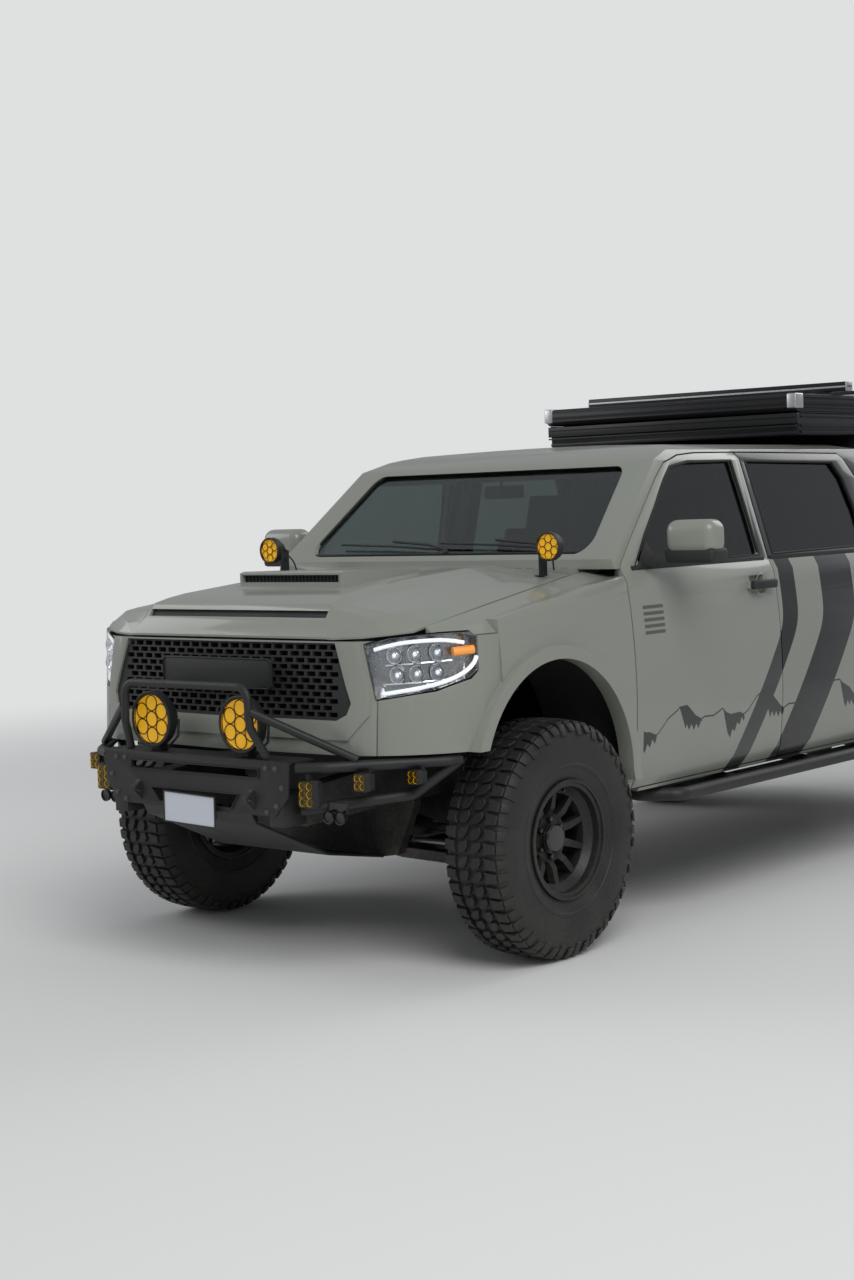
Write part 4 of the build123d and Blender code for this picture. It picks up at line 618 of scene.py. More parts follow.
# Wheels
PITCHES = 26
TREAD_TOP = 0.4692
TREAD_MIDDLE = 0.46
TREAD_HALF = 0.118
TREAD_CROWN = 0.006
BLOCK_DEPTH = 0.0165
BLOCK_TAPER = 0.93
SIDE_PROFILE = [(0.221, -0.106), (0.231, -0.118), (0.258, -0.127), (0.284, -0.136), (0.287, -0.1395),
                (0.297, -0.1415), (0.300, -0.1395), (0.335, -0.1435), (0.372, -0.143), (0.405, -0.1385),
                (0.430, -0.130), (0.447, -0.117), (0.4515, -0.09), (0.4535, -0.04)]
# Tread blocks of one pitch: corners as distance across and round the tyre
BLOCKS = [
    [(0.066, -0.050), (0.119, -0.046), (0.119, -0.012), (0.064, -0.004), (0.070, -0.026)],
    [(0.068, 0.006), (0.119, 0.002), (0.119, 0.040), (0.062, 0.050), (0.074, 0.028)],
    [(0.006, -0.052), (0.040, -0.044), (0.058, -0.020), (0.050, -0.003), (0.024, -0.008), (0.010, -0.030)],
    [(0.012, 0.000), (0.044, 0.008), (0.056, 0.032), (0.048, 0.050), (0.018, 0.044), (0.006, 0.022)],
]


def tread_radius(across):
    """Radius of the crowned tread at a distance from the middle."""
    return TREAD_TOP - TREAD_CROWN * (abs(across) / TREAD_HALF) ** 2.5


def tread_block(name, outline):
    """Block on the tread: its outline is raised from the tyre away from the wheel's axis."""
    corners = []
    for across, around in outline:
        radius = tread_radius(across) - BLOCK_DEPTH
        turn = around / TREAD_MIDDLE
        corners.append((across, radius * math.sin(turn), radius * math.cos(turn)))
    middle = sum(corner[0] for corner in corners) / len(corners)
    grow = TREAD_TOP / (TREAD_TOP - BLOCK_DEPTH)
    obj = open_outline(name, corners)
    bpy.ops.mesh.extrude_region_move(TRANSFORM_OT_translate={"value": (0, 0, 0)})
    bpy.ops.transform.resize(value=(BLOCK_TAPER, grow, grow), center_override=(middle, 0, 0))
    close_mesh()
    return bevelled(obj, 0.0016, 1)


def side_lug(name, inner_radius, around, width):
    """Lug on the tyre's shoulder that runs down the sidewall."""
    narrow = width * 0.85
    return plate(name, [(0.1165, around - width, 0.449), (0.1165, around + width, 0.449),
                        (0.137, around + narrow, inner_radius), (0.137, around - narrow, inner_radius)],
                 (0.0065, 0, 0.005), 0.0015)


def ring_of(obj, count, name):
    """Copies of a piece turned round the X axis and joined."""
    copies = [obj]
    for step in range(1, count):
        copies.append(copied(obj, name, Matrix.Rotation(2 * math.pi * step / count, 4, "X")))
    return joined(copies, name)


def make_tyre():
    """Tyre on the X axis: crowned casing, four rows of tread blocks and lugs on both shoulders."""
    profile = SIDE_PROFILE + [(radius, -along) for radius, along in reversed(SIDE_PROFILE)]
    casing = turned("tyre_casing", (0, 0, 0), (1, 0, 0), profile, 78)
    pieces = []
    for number, outline in enumerate(BLOCKS):
        pieces.append(tread_block(f"block_{number}", outline))
        pieces.append(tread_block(f"twin_block_{number}", [(-across, -around) for across, around in outline]))
    for side in (1, -1):
        for number, (reach, around, width) in enumerate([(0.404, -0.029, 0.017), (0.421, 0.023, 0.018)]):
            lug = side_lug(f"side_lug_{side}_{number}", reach, around, width)
            if side < 0:
                outer_lug = lug
                lug = copied(outer_lug, "inner_" + outer_lug.name, Matrix.Rotation(math.pi, 4, "Z"))
                bpy.data.objects.remove(outer_lug, do_unlink=True)
            pieces.append(lug)
    tread = ring_of(joined(pieces, "tread_pitch"), PITCHES, "tread")
    return joined([casing, tread], "mud_tyre")


def make_wheel_trim():
    """Hub cap, nuts and valve on the X axis, as on the outer face of a wheel."""
    cap = turned("hub_cap", (0.0495, 0, 0), (1, 0, 0),
                 [(0.057, 0), (0.057, 0.011), (0.05, 0.017), (0.02, 0.0185), (0.0, 0.0185)], 40)
    step = turned("hub_step", (0.026, 0, 0), (1, 0, 0), [(0.0615, 0), (0.0605, 0.0235), (0.056, 0.0245)], 40)
    nut = turned("nut", (0.0255, 0, 0.0735), (1, 0, 0),
                 [(0.0105, 0), (0.0105, 0.014), (0.0085, 0.018), (0, 0.018)], 6)
    nuts = ring_of(nut, 6, "nuts")
    valve = bar("valve", (0.085, 0.0, 0.205), (0.112, 0.0, 0.19), 0.0045, 12)
    return joined([cap, step, nuts, valve], "wheel_trim")


def place_wheels():
    """Four wheels from one tyre and one trim set."""
    tyre = make_tyre()
    trim = make_wheel_trim()
    for corner in CORNERS:
        side = 1 if corner.endswith("left") else -1
        place = back(0 if corner.startswith("front") else WHEELBASE)
        body = "wheel_" + corner
        turn = Matrix.Translation((side * TRACK_HALF, place, TYRE_RADIUS))
        if side < 0:
            turn = turn @ Matrix.Rotation(math.pi, 4, "Z")
        fitted = copied(tyre, "mud_tyre_" + corner, turn)
        dress(fitted, TYRE_RUBBER, body, 30)
        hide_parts("tyre_" + corner)
        dress(copied(trim, "wheel_trim_" + corner, turn), GLOSS_BLACK, body, 30)
        skin("rim_" + corner, "rim_finished_" + corner, RIM_BLACK, 0.002)
    bpy.data.objects.remove(tyre, do_unlink=True)
    bpy.data.objects.remove(trim, do_unlink=True)


place_wheels()


# Head lamps
def lens_y(across, height):
    """Y of the lamps' outer surface at a place in the front view."""
    hit, place, *_ = nodes["headlamps"].ray_cast((across, -3.5, height), (0, 1, 0))
    return place.y if hit else back(-0.455)


def lamp_shell(name, keep_front, depth, material):
    """The lamps' outer faces, or all their other faces, as a thin wall."""
    obj = node_copy("headlamps", name)
    open_mesh(obj)
    bpy.ops.mesh.remove_doubles(threshold=0.00005)
    bpy.ops.mesh.normals_make_consistent(inside=False)
    bpy.ops.mesh.select_mode(type="FACE")
    bpy.ops.mesh.select_all(action="DESELECT")
    bpy.ops.object.mode_set(mode="OBJECT")
    for polygon in obj.data.polygons:
        outward = polygon.normal.dot(Vector((0.55 if polygon.center.x > 0 else -0.55, -0.83, 0)))
        polygon.select = (outward > 0.5) != keep_front
    bpy.ops.object.mode_set(mode="EDIT")
    bpy.ops.mesh.delete(type="FACE")
    bpy.ops.mesh.select_mode(type="VERT")
    bpy.ops.object.mode_set(mode="OBJECT")
    wall = obj.modifiers.new("Wall", "SOLIDIFY")
    wall.thickness = depth
    wall.offset = -1
    bpy.ops.object.modifier_apply(modifier=wall.name)
    return dress(obj, material, "chassis", 40)


def on_lens(points, inset):
    """Places just behind the lens for points of the front view."""
    return [(x, lens_y(x, z) + inset, z) for x, z in points]


def head_lamps():
    """Clear lens, dark housing, projectors, white bars and amber marker of both head lamps."""
    lens = lamp_shell("headlamp_lenses", True, 0.002, LENS)
    lamp_shell("headlamp_housings", False, 0.002, DARK_CHROME)
    top_bar = [(0.718, 1.258), (0.785, 1.279), (0.86, 1.287), (0.93, 1.288), (0.962, 1.274)]
    low_bar = [(0.752, 1.094), (0.83, 1.106), (0.905, 1.124), (0.955, 1.152), (0.982, 1.195), (0.984, 1.222)]
    bars = [pipe("bar_top", on_lens(top_bar, 0.014), 0.0078, smooth_line=True),
            pipe("bar_low", on_lens(low_bar, 0.014), 0.0082, smooth_line=True)]
    both_sides(joined(bars, "light_bars"), WHITE_GLOW, CHASSIS)
    marker = pipe("amber_marker", on_lens([(0.936, 1.241), (0.956, 1.244), (0.976, 1.247)], 0.024), 0.0175)
    both_sides(marker, AMBER_GLOW, CHASSIS)
    bowls, eyes, sparks, steps = [], [], [], []
    for row, (height, places) in enumerate([(1.236, (0.778, 0.84, 0.898)), (1.163, (0.788, 0.846, 0.9))]):
        for number, across in enumerate(places):
            front = lens_y(across, height)
            centre = (across, front + 0.05, height + (across - 0.79) * 0.06)
            aim = (0.18, -1, 0)
            bowls.append(turned(f"bowl_{row}_{number}", centre, aim,
                                [(0.010, 0.002), (0.022, 0.012), (0.030, 0.030), (0.032, 0.030)], 28))
            eyes.append(turned(f"eye_{row}_{number}", centre, aim,
                               [(0.0175, 0.008), (0.017, 0.019), (0.0125, 0.0255), (0.006, 0.0285),
                                (0, 0.029)], 24))
            sparks.append(turned(f"spark_{row}_{number}", centre, aim,
                                 [(0.0085, 0.0292), (0.006, 0.0312), (0, 0.0318)], 16))
    for height in (1.198, 1.128):
        shelf = [(0.745, height), (0.83, height + 0.004), (0.93, height + 0.012)]
        steps.append(pipe(f"shelf_{height}", on_lens(shelf, 0.036), 0.005))
    for parts, name, material in ((bowls, "reflector_bowls", CHROME), (eyes, "projector_eyes", PROJECTOR),
                                  (sparks, "projector_lights", WHITE_GLOW), (steps, "lamp_shelves", CHROME)):
        both_sides(joined(parts, name), material, CHASSIS)
    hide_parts("headlamps")


head_lamps()


# Added lamps
def round_lamp(name, centre, radius, depth):
    """Round lamp facing forward: finned housing, bezel, ring of optics and yellow glass."""
    x, y, z = centre
    start = (x, y + depth, z)
    shell = [(0.5, 0), (0.55, 0.06), (0.78, 0.3), (0.93, 0.5), (0.985, 0.62), (0.985, 0.96), (0.95, 0.995),
             (0.89, 0.995), (0.87, 0.9), (0.84, 0.6), (0, 0.5)]
    housing = turned(name + "_housing", start, (0, -1, 0), scaled(shell, radius, depth), 48)
    back_cap = turned(name + "_back", start, (0, 1, 0), scaled([(0.5, 0), (0, 0)], radius, depth), 48)
    pieces = [housing, back_cap]
    for number in range(4):
        along = depth * (0.1 + 0.12 * number)
        reach = radius * (0.62 + 0.09 * number)
        pieces.append(turned(f"{name}_fin_{number}", start, (0, -1, 0),
                             [(reach * 0.6, along), (reach, along), (reach, along + 0.003),
                              (reach * 0.6, along + 0.003)], 40))
    cup = radius * 0.27
    front = y + depth * 0.14
    optics = [turned(name + "_dish", (x, front + 0.001, z), (0, 1, 0),
                     scaled([(0.85, 0), (0.8, 0.05), (0, 0.06)], radius, depth), 40)]
    ring = [a * math.pi / 3 + 0.52 for a in range(6)]
    spots = [(0, 0)] + [(radius * 0.56 * math.cos(a), radius * 0.56 * math.sin(a)) for a in ring]
    for number, (right, up) in enumerate(spots):
        optics.append(turned(f"{name}_cup_{number}", (x + right, front, z + up), (0, 1, 0),
                             scaled([(1, 0), (0.8, 0.35), (0.3, 0.6), (0, 0.6)], cup, cup), 14))
        pieces.append(turned(f"{name}_rim_{number}", (x + right, front - 0.001, z + up), (0, 1, 0),
                             scaled([(1.08, 1), (1.08, 0), (0.94, 0), (0.94, 1)], cup, 0.003), 14))
    glass = turned(name + "_glass", (x, y + depth * 0.09, z), (0, -1, 0),
                   [(radius * 0.87, 0), (radius * 0.87, 0.003), (radius * 0.6, 0.0048), (0, 0.0055)], 40)
    return pieces, optics, [glass]


def pod_lamp(name, centre, half, tall, rows):
    """Rectangular lamp facing forward with rows of paired optics behind yellow glass."""
    x, y, z = centre

    def face(share, tall_share, depth):
        """Corners of the lamp's front outline, made smaller by the shares."""
        wide, high = half * share, tall * tall_share
        return [(x - wide, y + depth, z - high), (x + wide, y + depth, z - high),
                (x + wide, y + depth, z + high), (x - wide, y + depth, z + high)]

    pieces = [block(name + "_body", (x - half, y + 0.012, z - tall), (x + half, y + 0.044, z + tall), 0.007,
                    3),
              plate(name + "_rim", face(1, 1, 0.013), (0, -0.01, 0), 0.004)]
    pieces += block_row(name + "_fin", [x - half * 0.75 + number * half * 0.5 for number in range(4)], 0.002,
                        (y + 0.042, z - tall * 0.85), (y + 0.059, z + tall * 0.85))
    optics = []
    cup = min(half * 0.42, tall / rows * 0.86)
    for row in range(rows):
        for side in (-1, 1):
            height = z + tall * (2 * (row + 0.5) / rows - 1) * 0.86
            optics.append(turned(f"{name}_cup_{row}_{side}", (x + side * half * 0.45, y + 0.0015, height),
                                 (0, 1, 0), scaled([(1, 0), (0.75, 0.4), (0, 0.6)], cup, cup), 8))
    return pieces, optics, [plate(name + "_glass", face(0.86, 0.9, 0.0012), (0, -0.001, 0))]


def lamp_set(name, housing_name, node, lamps, bodies):
    """Dresses both sides of a set of added lamps, which stands for their CAD node."""
    pieces, optics, glasses = lamps
    left = both_sides(joined(pieces, housing_name), BLACK_COAT, bodies, 30)[0]
    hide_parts(node)
    both_sides(joined(optics, name + "_optics"), YELLOW_GLOW, bodies, 30)
    both_sides(joined(glasses, name + "_glass"), AMBER_LENS, bodies, 30)


HOOP_LAMP_X = 0.245
# Pods from the middle outwards: place across, behind the axle and up, half-width, half-height and rows
PODS = [(0.56, -0.955, 0.738, 0.04, 0.052, 3), (0.733, -0.85, 0.779, 0.03, 0.034, 2),
        (0.862, -0.7, 0.788, 0.026, 0.026, 2)]


def added_lamps():
    """Round lamps in the hoop, pods at the bumper's ends and ditch lamps on the hood."""
    pieces, optics, glasses = [], [], []
    sets = [round_lamp("hoop_lamp", at(HOOP_LAMP_X, -0.975, 0.985), 0.112, 0.094)]
    for number, (x, d, z, half, tall, rows) in enumerate(PODS):
        sets.append(pod_lamp(f"pod_{number}", at(x, d, z), half, tall, rows))
    for made in sets:
        pieces += made[0]
        optics += made[1]
        glasses += made[2]
    pieces.append(block("hoop_lamp_foot", at(0.223, -0.952, 0.858), at(0.267, -0.905, 0.884), 0.003))
    yoke = [(-0.116, 0.985), (-0.108, 0.92), (-0.05, 0.872), (0.05, 0.872), (0.108, 0.92), (0.116, 0.985)]
    pieces.append(pipe("hoop_lamp_yoke", [at(HOOP_LAMP_X + x, -0.93, z) for x, z in yoke], 0.005))
    for x, d, z, reach in ((0.56, -0.934, 0.79, 0.025), (0.733, -0.79, 0.813, 0.022),
                           (0.862, -0.642, 0.814, 0.02)):
        pieces.append(block(f"pod_bracket_{x}", (x - 0.007, back(d) - 0.009, z - 0.004),
                            (x + 0.007, back(d) + 0.009, z + reach)))
    lamp_set("bumper_lamp", "bumper_lamp_housings", "bumper_lamps", (pieces, optics, glasses), CHASSIS)
    pieces, optics, glasses = round_lamp("ditch_lamp", at(0.785, 0.27, 1.602), 0.06, 0.08)
    pieces.append(block("ditch_bracket", at(0.7252, 0.29, 1.481), at(0.7328, 0.34, 1.602), 0.001))
    pieces.append(block("ditch_foot", at(0.70, 0.292, 1.4815), at(0.7325, 0.338, 1.4855), 0.001))
    for height in (1.56, 1.602):
        pieces.append(bar(f"ditch_bolt_{height}", at(0.719, 0.315, height), at(0.728, 0.315, height),
                          0.006, 6))
    lamp_set("ditch_lamp", "ditch_lamp_housing", "ditch_lamps", (pieces, optics, glasses), HOOD)
    lead = [at(0.752, 0.345, 1.59), at(0.735, 0.37, 1.56), at(0.73, 0.385, 1.53), at(0.728, 0.39, 1.502)]
    both_sides(pipe("ditch_lamp_cable", lead, 0.0035, smooth_line=True), RUBBER, HOOD)


added_lamps()


# Front trim
def front_trim():
    """Badge panel in the grille, number plate and fixings on the bumper."""
    y = back(-0.846)
    corners = [(-0.30, y, 1.118), (-0.287, y, 1.106), (0.287, y, 1.106), (0.30, y, 1.118), (0.30, y, 1.213),
               (0.287, y, 1.225), (-0.287, y, 1.225), (-0.30, y, 1.213)]
    dress(plate("badge_panel", corners, (0, 0.012, 0), 0.003), BLACK_COAT, "chassis")
    dress(pipe("badge_rim", [(x * 0.985, y - 0.001, 1.1655 + (z - 1.1655) * 0.93) for x, y, z in corners],
               0.0022, closed=True), DARK_ALLOY, "chassis")
    stays = [bar(f"badge_stay_{x}", (x, y + 0.006, 1.165), at(x, -0.79, 1.165), 0.008) for x in (-0.2, 0.2)]
    dress(joined(stays, "badge_stays"), BLACK_COAT, "chassis")
    y = back(-1.004)
    plate_corners = [(-0.150, y, 0.714), (0.130, y, 0.706), (0.128, y, 0.588), (-0.152, y, 0.596)]
    dress(plate("front_plate", plate_corners, (0, 0.0015, 0)), WHITE_PLATE, "chassis")
    surround = pipe("front_plate_frame", plate_corners, 0.004, closed=True)
    dress(surround, BLACK_PLASTIC, "chassis")
    carrier = block("front_plate_carrier", at(-0.14, -1.002, 0.62), at(0.12, -0.984, 0.69), 0.002)
    dress(carrier, BLACK_COAT, "chassis")
    bolts = []
    for x, z in ((0.44, 0.83), (0.47, 0.76), (0.44, 0.69), (0.39, 0.83), (0.39, 0.665)):
        bolts.append(turned(f"bolt_{x}_{z}", at(x, -0.985, z), (0, -1, 0),
                            [(0.011, 0), (0.011, 0.002), (0.0075, 0.002), (0.0075, 0.007), (0, 0.007)], 12))
    both_sides(joined(bolts, "bumper_bolts"), IRON, CHASSIS)
    lips = []
    y = back(-0.987)
    for name, narrow, wide, low, high in (("slot_upper", 0.352, 0.352, 0.79, 0.824),
                                          ("slot_lower", 0.202, 0.242, 0.666, 0.722)):
        lips.append(pipe(name + "_lip", [(-narrow, y, low), (narrow, y, low), (wide, y, high),
                                         (-wide, y, high)],
                         0.003, closed=True))
    dress(joined(lips, "slot_lips"), BLACK_COAT, "chassis")
    pair = []
    for x in (0.592, 0.65):
        pair.append(turned(f"small_lamp_{x}", at(x, -0.86, 0.645), (0, -1, 0),
                           [(0.012, -0.02), (0.024, 0), (0.026, 0.012), (0.022, 0.014), (0.02, 0.008),
                            (0, 0.006)], 20))
    pair.append(block("small_lamp_bracket", at(0.575, -0.852, 0.664), at(0.667, -0.84, 0.70)))
    both_sides(joined(pair, "small_lamps"), GLOSS_BLACK, CHASSIS)


front_trim()


# Windows, handles, mirrors and wipers
WINDOW_LEAN = 0.2517
HANDLE_HEIGHT = 1.385


def side_x(height):
    """Half-width of the window plane at a height."""
    return BELT_HALF - WINDOW_LEAN * (height - BELT_HEIGHT)


FRONT_WINDOW = [(0.655, 1.505), (0.78, 1.63), (0.905, 1.745), (1.01, 1.85), (1.09, 1.915), (1.24, 1.937),
                (1.602, 1.94), (1.632, 1.72), (1.652, 1.512)]
SCREEN_FOOT = 1.54
SCREEN_HEAD = 1.948
REAR_WINDOW = [(1.768, 1.512), (1.752, 1.72), (1.722, 1.938), (2.52, 1.928), (2.59, 1.85), (2.64, 1.69),
               (2.662, 1.52)]


def side_windows():
    """Rubber seals, belt trims and handles of the doors."""
    for end, outline, body, rear in (("front", FRONT_WINDOW, "door_front_", 1.72),
                                     ("rear", REAR_WINDOW, "door_rear_", 2.78)):
        bodies = (body + "left", body + "right")
        seal = pipe(end + "_window_seal", [at(side_x(z) - 0.004, d, z) for d, z in outline], 0.008,
                    closed=True)
        both_sides(seal, RUBBER, bodies, 50)
        first = outline[0][0] - (0.03 if end == "front" else 0.035)
        last = outline[-1][0] + 0.03
        trim = block(end + "_belt_trim", at(0.936, first, 1.487), at(0.9535, last, 1.507), 0.003)
        both_sides(trim, BLACK_PLASTIC, bodies)
        grip_end = rear - 0.065
        grip = block(end + "_handle_grip", at(1.009, grip_end - 0.194, 1.3655),
                     at(1.0365, grip_end + 0.004, 1.4045), 0.009, 3)
        lock = turned(end + "_handle_lock", at(1.0335, grip_end - 0.018, HANDLE_HEIGHT), (1, 0, 0),
                      [(0.009, 0), (0.009, 0.002), (0, 0.002)], 20)
        both_sides(joined([grip, lock], end + "_handle"), BLACK_PLASTIC, bodies)
        cup = turned(end + "_handle_cup", at(1.0075, grip_end - 0.095, HANDLE_HEIGHT), (1, 0, 0),
                     [(0.047, -0.002), (0.05, 0.0), (0.048, 0.0016), (0.044, 0.0)], 28)
        both_sides(cup, PAINT, bodies)


def mirrors():
    """Painted caps on black bases with glass at the rear."""
    cap = block("mirror_shell", at(1.043, 0.722, 1.546), at(1.2795, 0.852, 1.6905), 0.047, 6)
    left, right = both_sides(cap, PAINT, FRONT_DOORS, 40)
    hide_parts("mirror_left")
    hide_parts("mirror_right")
    base = block("mirror_base", at(1.040, 0.728, 1.512), at(1.2785, 0.856, 1.574), 0.018, 3)
    arm = plate("mirror_arm", [at(0.944, 0.69, 1.50), at(0.944, 0.785, 1.50), at(1.065, 0.80, 1.514),
                               at(1.065, 0.735, 1.514)], (0, 0, 0.04), 0.008)
    foot = plate("mirror_foot", [at(0.9475, 0.665, 1.496), at(0.9475, 0.80, 1.496), at(0.938, 0.79, 1.555),
                                 at(0.9205, 0.765, 1.608)], (0.012, 0, 0), 0.004)
    both_sides(joined([base, arm, foot], "mirror_mount"), BLACK_PLASTIC, FRONT_DOORS)
    glass = block("mirror_glass", at(1.092, 0.846, 1.545), at(1.246, 0.8535, 1.656), 0.003)
    both_sides(glass, CHROME, FRONT_DOORS)


def screen_point(across, height, lift=0.0):
    """Place on the windscreen's outer face."""
    share = (height - SCREEN_FOOT) / (SCREEN_HEAD - SCREEN_FOOT)
    return at(across, 0.529 + 0.48 * share - lift * 0.65, height + lift * 0.76)


def wipers_and_cowl():
    """Two wipers, the dark cowl and the windscreen's seal."""
    parts = []
    for number, (pivot, tip) in enumerate([(0.60, -0.03), (0.02, -0.62)]):
        low = screen_point(pivot, 1.572, 0.02)
        end = screen_point(tip, 1.60, 0.02)
        middle = screen_point((pivot + tip) / 2, 1.60, 0.034)
        arm = [low, screen_point(pivot - 0.1, 1.585, 0.032), middle]
        blade = [screen_point(pivot - 0.04, 1.578, 0.012), screen_point((pivot + tip) / 2, 1.592, 0.016), end]
        parts.append(pipe(f"wiper_arm_{number}", arm, 0.006))
        parts.append(pipe(f"wiper_blade_{number}", blade, 0.005))
        parts.append(turned(f"wiper_pivot_{number}", screen_point(pivot, 1.566, 0.0), (0, -0.6, 0.8),
                            [(0.014, 0), (0.014, 0.02), (0.008, 0.026), (0, 0.026)], 16))
    dress(joined(parts, "wipers"), BLACK_PLASTIC, "chassis")
    rim = [(0.80, 1.563), (0.705, 1.925), (-0.705, 1.925), (-0.80, 1.563)]
    seal = pipe("screen_seal", [screen_point(x, z, 0.004) for x, z in rim], 0.009, closed=True)
    dress(seal, RUBBER, "chassis", 50)
    shade = [(0.70, 1.925), (-0.70, 1.925), (-0.712, 1.885), (0.712, 1.885)]
    band = plate("screen_shade", [screen_point(x, z, -0.012) for x, z in shade], (0, 0.002, 0))
    dress(band, RUBBER, "chassis")
    slats = [block("cowl_panel", at(-0.76, 0.498, 1.496), at(0.76, 0.515, 1.503))]
    slats += block_row("slat", [-0.7 + number * 1.4 / 23 for number in range(24)], 0.02,
                       (back(0.501), 1.503), (back(0.512), 1.506))
    dress(joined(slats, "cowl"), BLACK_PLASTIC, "chassis")


side_windows()
mirrors()
wipers_and_cowl()


# Seats and cabin
SEAT_X = 0.38


def cushion(name, low, high, lean=0.0, crown=0.012):
    """Padded block, crowned in the middle of its large faces and leaned back about its lower front edge."""
    obj = block(name, low, high, 0.03, 3)
    open_mesh(obj)
    bpy.ops.mesh.subdivide(number_cuts=3)
    bpy.ops.object.mode_set(mode="OBJECT")
    middle = (Vector(low) + Vector(high)) / 2
    half = (Vector(high) - Vector(low)) / 2
    thin = min(range(3), key=lambda axis: half[axis])
    broad = [axis for axis in range(3) if axis != thin]
    for vertex in obj.data.vertices:
        place = [(vertex.co[axis] - middle[axis]) / half[axis] for axis in range(3)]
        swell = (1 - place[broad[0]] ** 2) * (1 - place[broad[1]] ** 2)
        vertex.co[thin] += crown * swell * (1 if place[thin] > 0 else -1) * abs(place[thin])
    if lean:
        edge = Matrix.Translation((0, low[1], low[2]))
        obj.matrix_world = edge @ Matrix.Rotation(-lean, 4, "X") @ edge.inverted()
        settle(obj)
    return obj


def seat_row(name, centre, half, front, height, depth, lean, back_height):
    """Cushion, back and bolsters of one seat."""
    wing = 0.07
    flat = half - wing
    pieces = [cushion(name + "_cushion", at(centre - flat, front, height),
                      at(centre + flat, front + depth, height + 0.125)),
              cushion(name + "_back", at(centre - flat, front + depth - 0.03, height + 0.1),
                      at(centre + flat, front + depth + 0.07, height + back_height), lean)]
    for side in (-1, 1):
        inner, outer = sorted((centre + side * (flat + 0.004), centre + side * (half + 0.006)))
        pieces.append(cushion(f"{name}_thigh_{side}", at(inner, front + 0.015, height + 0.01),
                              at(outer, front + depth, height + 0.15), 0.0, 0.006))
        pieces.append(cushion(f"{name}_side_{side}", at(inner, front + depth - 0.055, height + 0.12),
                              at(outer, front + depth + 0.07, height + back_height - 0.05), lean, 0.006))
    return pieces


def seats_and_cabin():
    """Padded seats with head rests, the dashboard's fittings, steering wheel trim and inside mirror."""
    soft = []
    for name, centre in (("driver", SEAT_X), ("passenger", -SEAT_X)):
        soft += seat_row(name, centre, 0.25, 1.185, 1.01, 0.48, 0.3, 0.66)
        soft.append(cushion(name + "_head_rest", at(centre - 0.135, 1.85, 1.665),
                            at(centre + 0.135, 1.93, 1.80), 0.2, 0.008))
    for name, centre, half in (("bench_left", 0.46, 0.235), ("bench_right", -0.46, 0.235),
                               ("bench_middle", 0.0, 0.215)):
        soft.append(cushion(name + "_cushion", at(centre - half, 2.235, 0.995),
                            at(centre + half, 2.64, 1.125)))
        soft.append(cushion(name + "_back", at(centre - half, 2.61, 1.09), at(centre + half, 2.70, 1.65),
                            0.14))
        if name != "bench_middle":
            soft.append(cushion(name + "_head_rest", at(centre - 0.12, 2.70, 1.655),
                                at(centre + 0.12, 2.77, 1.76), 0.1, 0.008))
    for obj in soft:
        dress(obj, SEAT_CLOTH, "chassis", 50)
    posts = []
    for x in (0.33, 0.43, -0.43, -0.33):
        posts.append(bar(f"rest_post_{x}", at(x, 1.845, 1.62), at(x, 1.885, 1.70), 0.006, 12))
    dress(joined(posts, "head_rest_posts"), BARE_STEEL, "chassis")
    panel = [block("centre_screen", at(-0.12, 0.66, 1.33), at(0.12, 0.675, 1.47), 0.004),
             block("gauge_hood", at(0.22, 0.655, 1.42), at(0.54, 0.76, 1.50), 0.02, 3)]
    for x in (-0.62, -0.2, 0.17, 0.66):
        panel.append(turned(f"vent_{x}", at(x, 0.83, 1.40), (0, 1, 0),
                            [(0.045, 0), (0.045, 0.012), (0.036, 0.012), (0.034, 0.004), (0, 0.004)], 24))
    dress(joined(panel, "dashboard_fittings"), GLOSS_BLACK, "chassis")
    hub = turned("wheel_hub", (0, 0, 0), (0, 0, 1), [(0.062, 0), (0.06, 0.012), (0.05, 0.018), (0, 0.02)], 32)

    def on_ring(angle, radius, height):
        """Place round the steering wheel's middle."""
        return (radius * math.cos(angle), radius * math.sin(angle), height)

    ring = pipe("wheel_ring", [on_ring(a * math.pi / 12, 0.174, 0.014) for a in range(24)], 0.0145,
                closed=True)
    spokes = [bar(f"wheel_spoke_{a}", on_ring(a, 0.05, 0.012), on_ring(a, 0.165, 0.014), 0.011, 12)
              for a in (0.15, math.pi - 0.15, 1.5 * math.pi)]
    wheel = joined([hub, ring] + spokes, "steering_wheel_trim")
    foot = Vector(at(SEAT_X, 0.857, 1.300))
    head = Vector(at(SEAT_X, 1.025, 1.372))
    wheel.matrix_world = Matrix.Translation(head) @ (head - foot).to_track_quat("Z", "Y").to_matrix().to_4x4()
    dress(settle(wheel), BLACK_PLASTIC, "steering_wheel", 40)
    inner = block("cabin_mirror", at(-0.11, 1.0, 1.80), at(0.11, 1.02, 1.86), 0.008, 3)
    stem = bar("cabin_mirror_stem", at(0, 1.0, 1.84), at(0, 0.985, 1.895), 0.006, 12)
    dress(joined([inner, stem], "inside_mirror"), BLACK_PLASTIC, "chassis")


# Camper and tent
# Foot and head of the camper's leaning side: half-width and height
SIDE_FOOT = (0.870, 1.470)
SIDE_HEAD = (0.780, 2.066)
TENT_HALF = 0.746
TENT_FRONT = back(2.345)
BAR_PLACES = (2.79, 3.70, 4.50)


def tent_ribs(name, body, lines, half, out, sides, front_half, front_places):
    """Long ribs on both sides and across the front of the tent, at the heights of the lines."""
    ribs = []
    for (low, high), (near, far) in zip(lines, front_places):
        for side in (-1, 1):
            ribs.append(side_block(f"{name}_rib_{low}_{side}", side, (half, out), *sides, low, high, 0.0015))
        ribs.append(block(f"{name}_front_rib_{low}", (-front_half, near, low), (front_half, far, high),
                          0.0015))
    dress(joined(ribs, f"tent_{name}_ribs"), DARK_ALLOY, body)


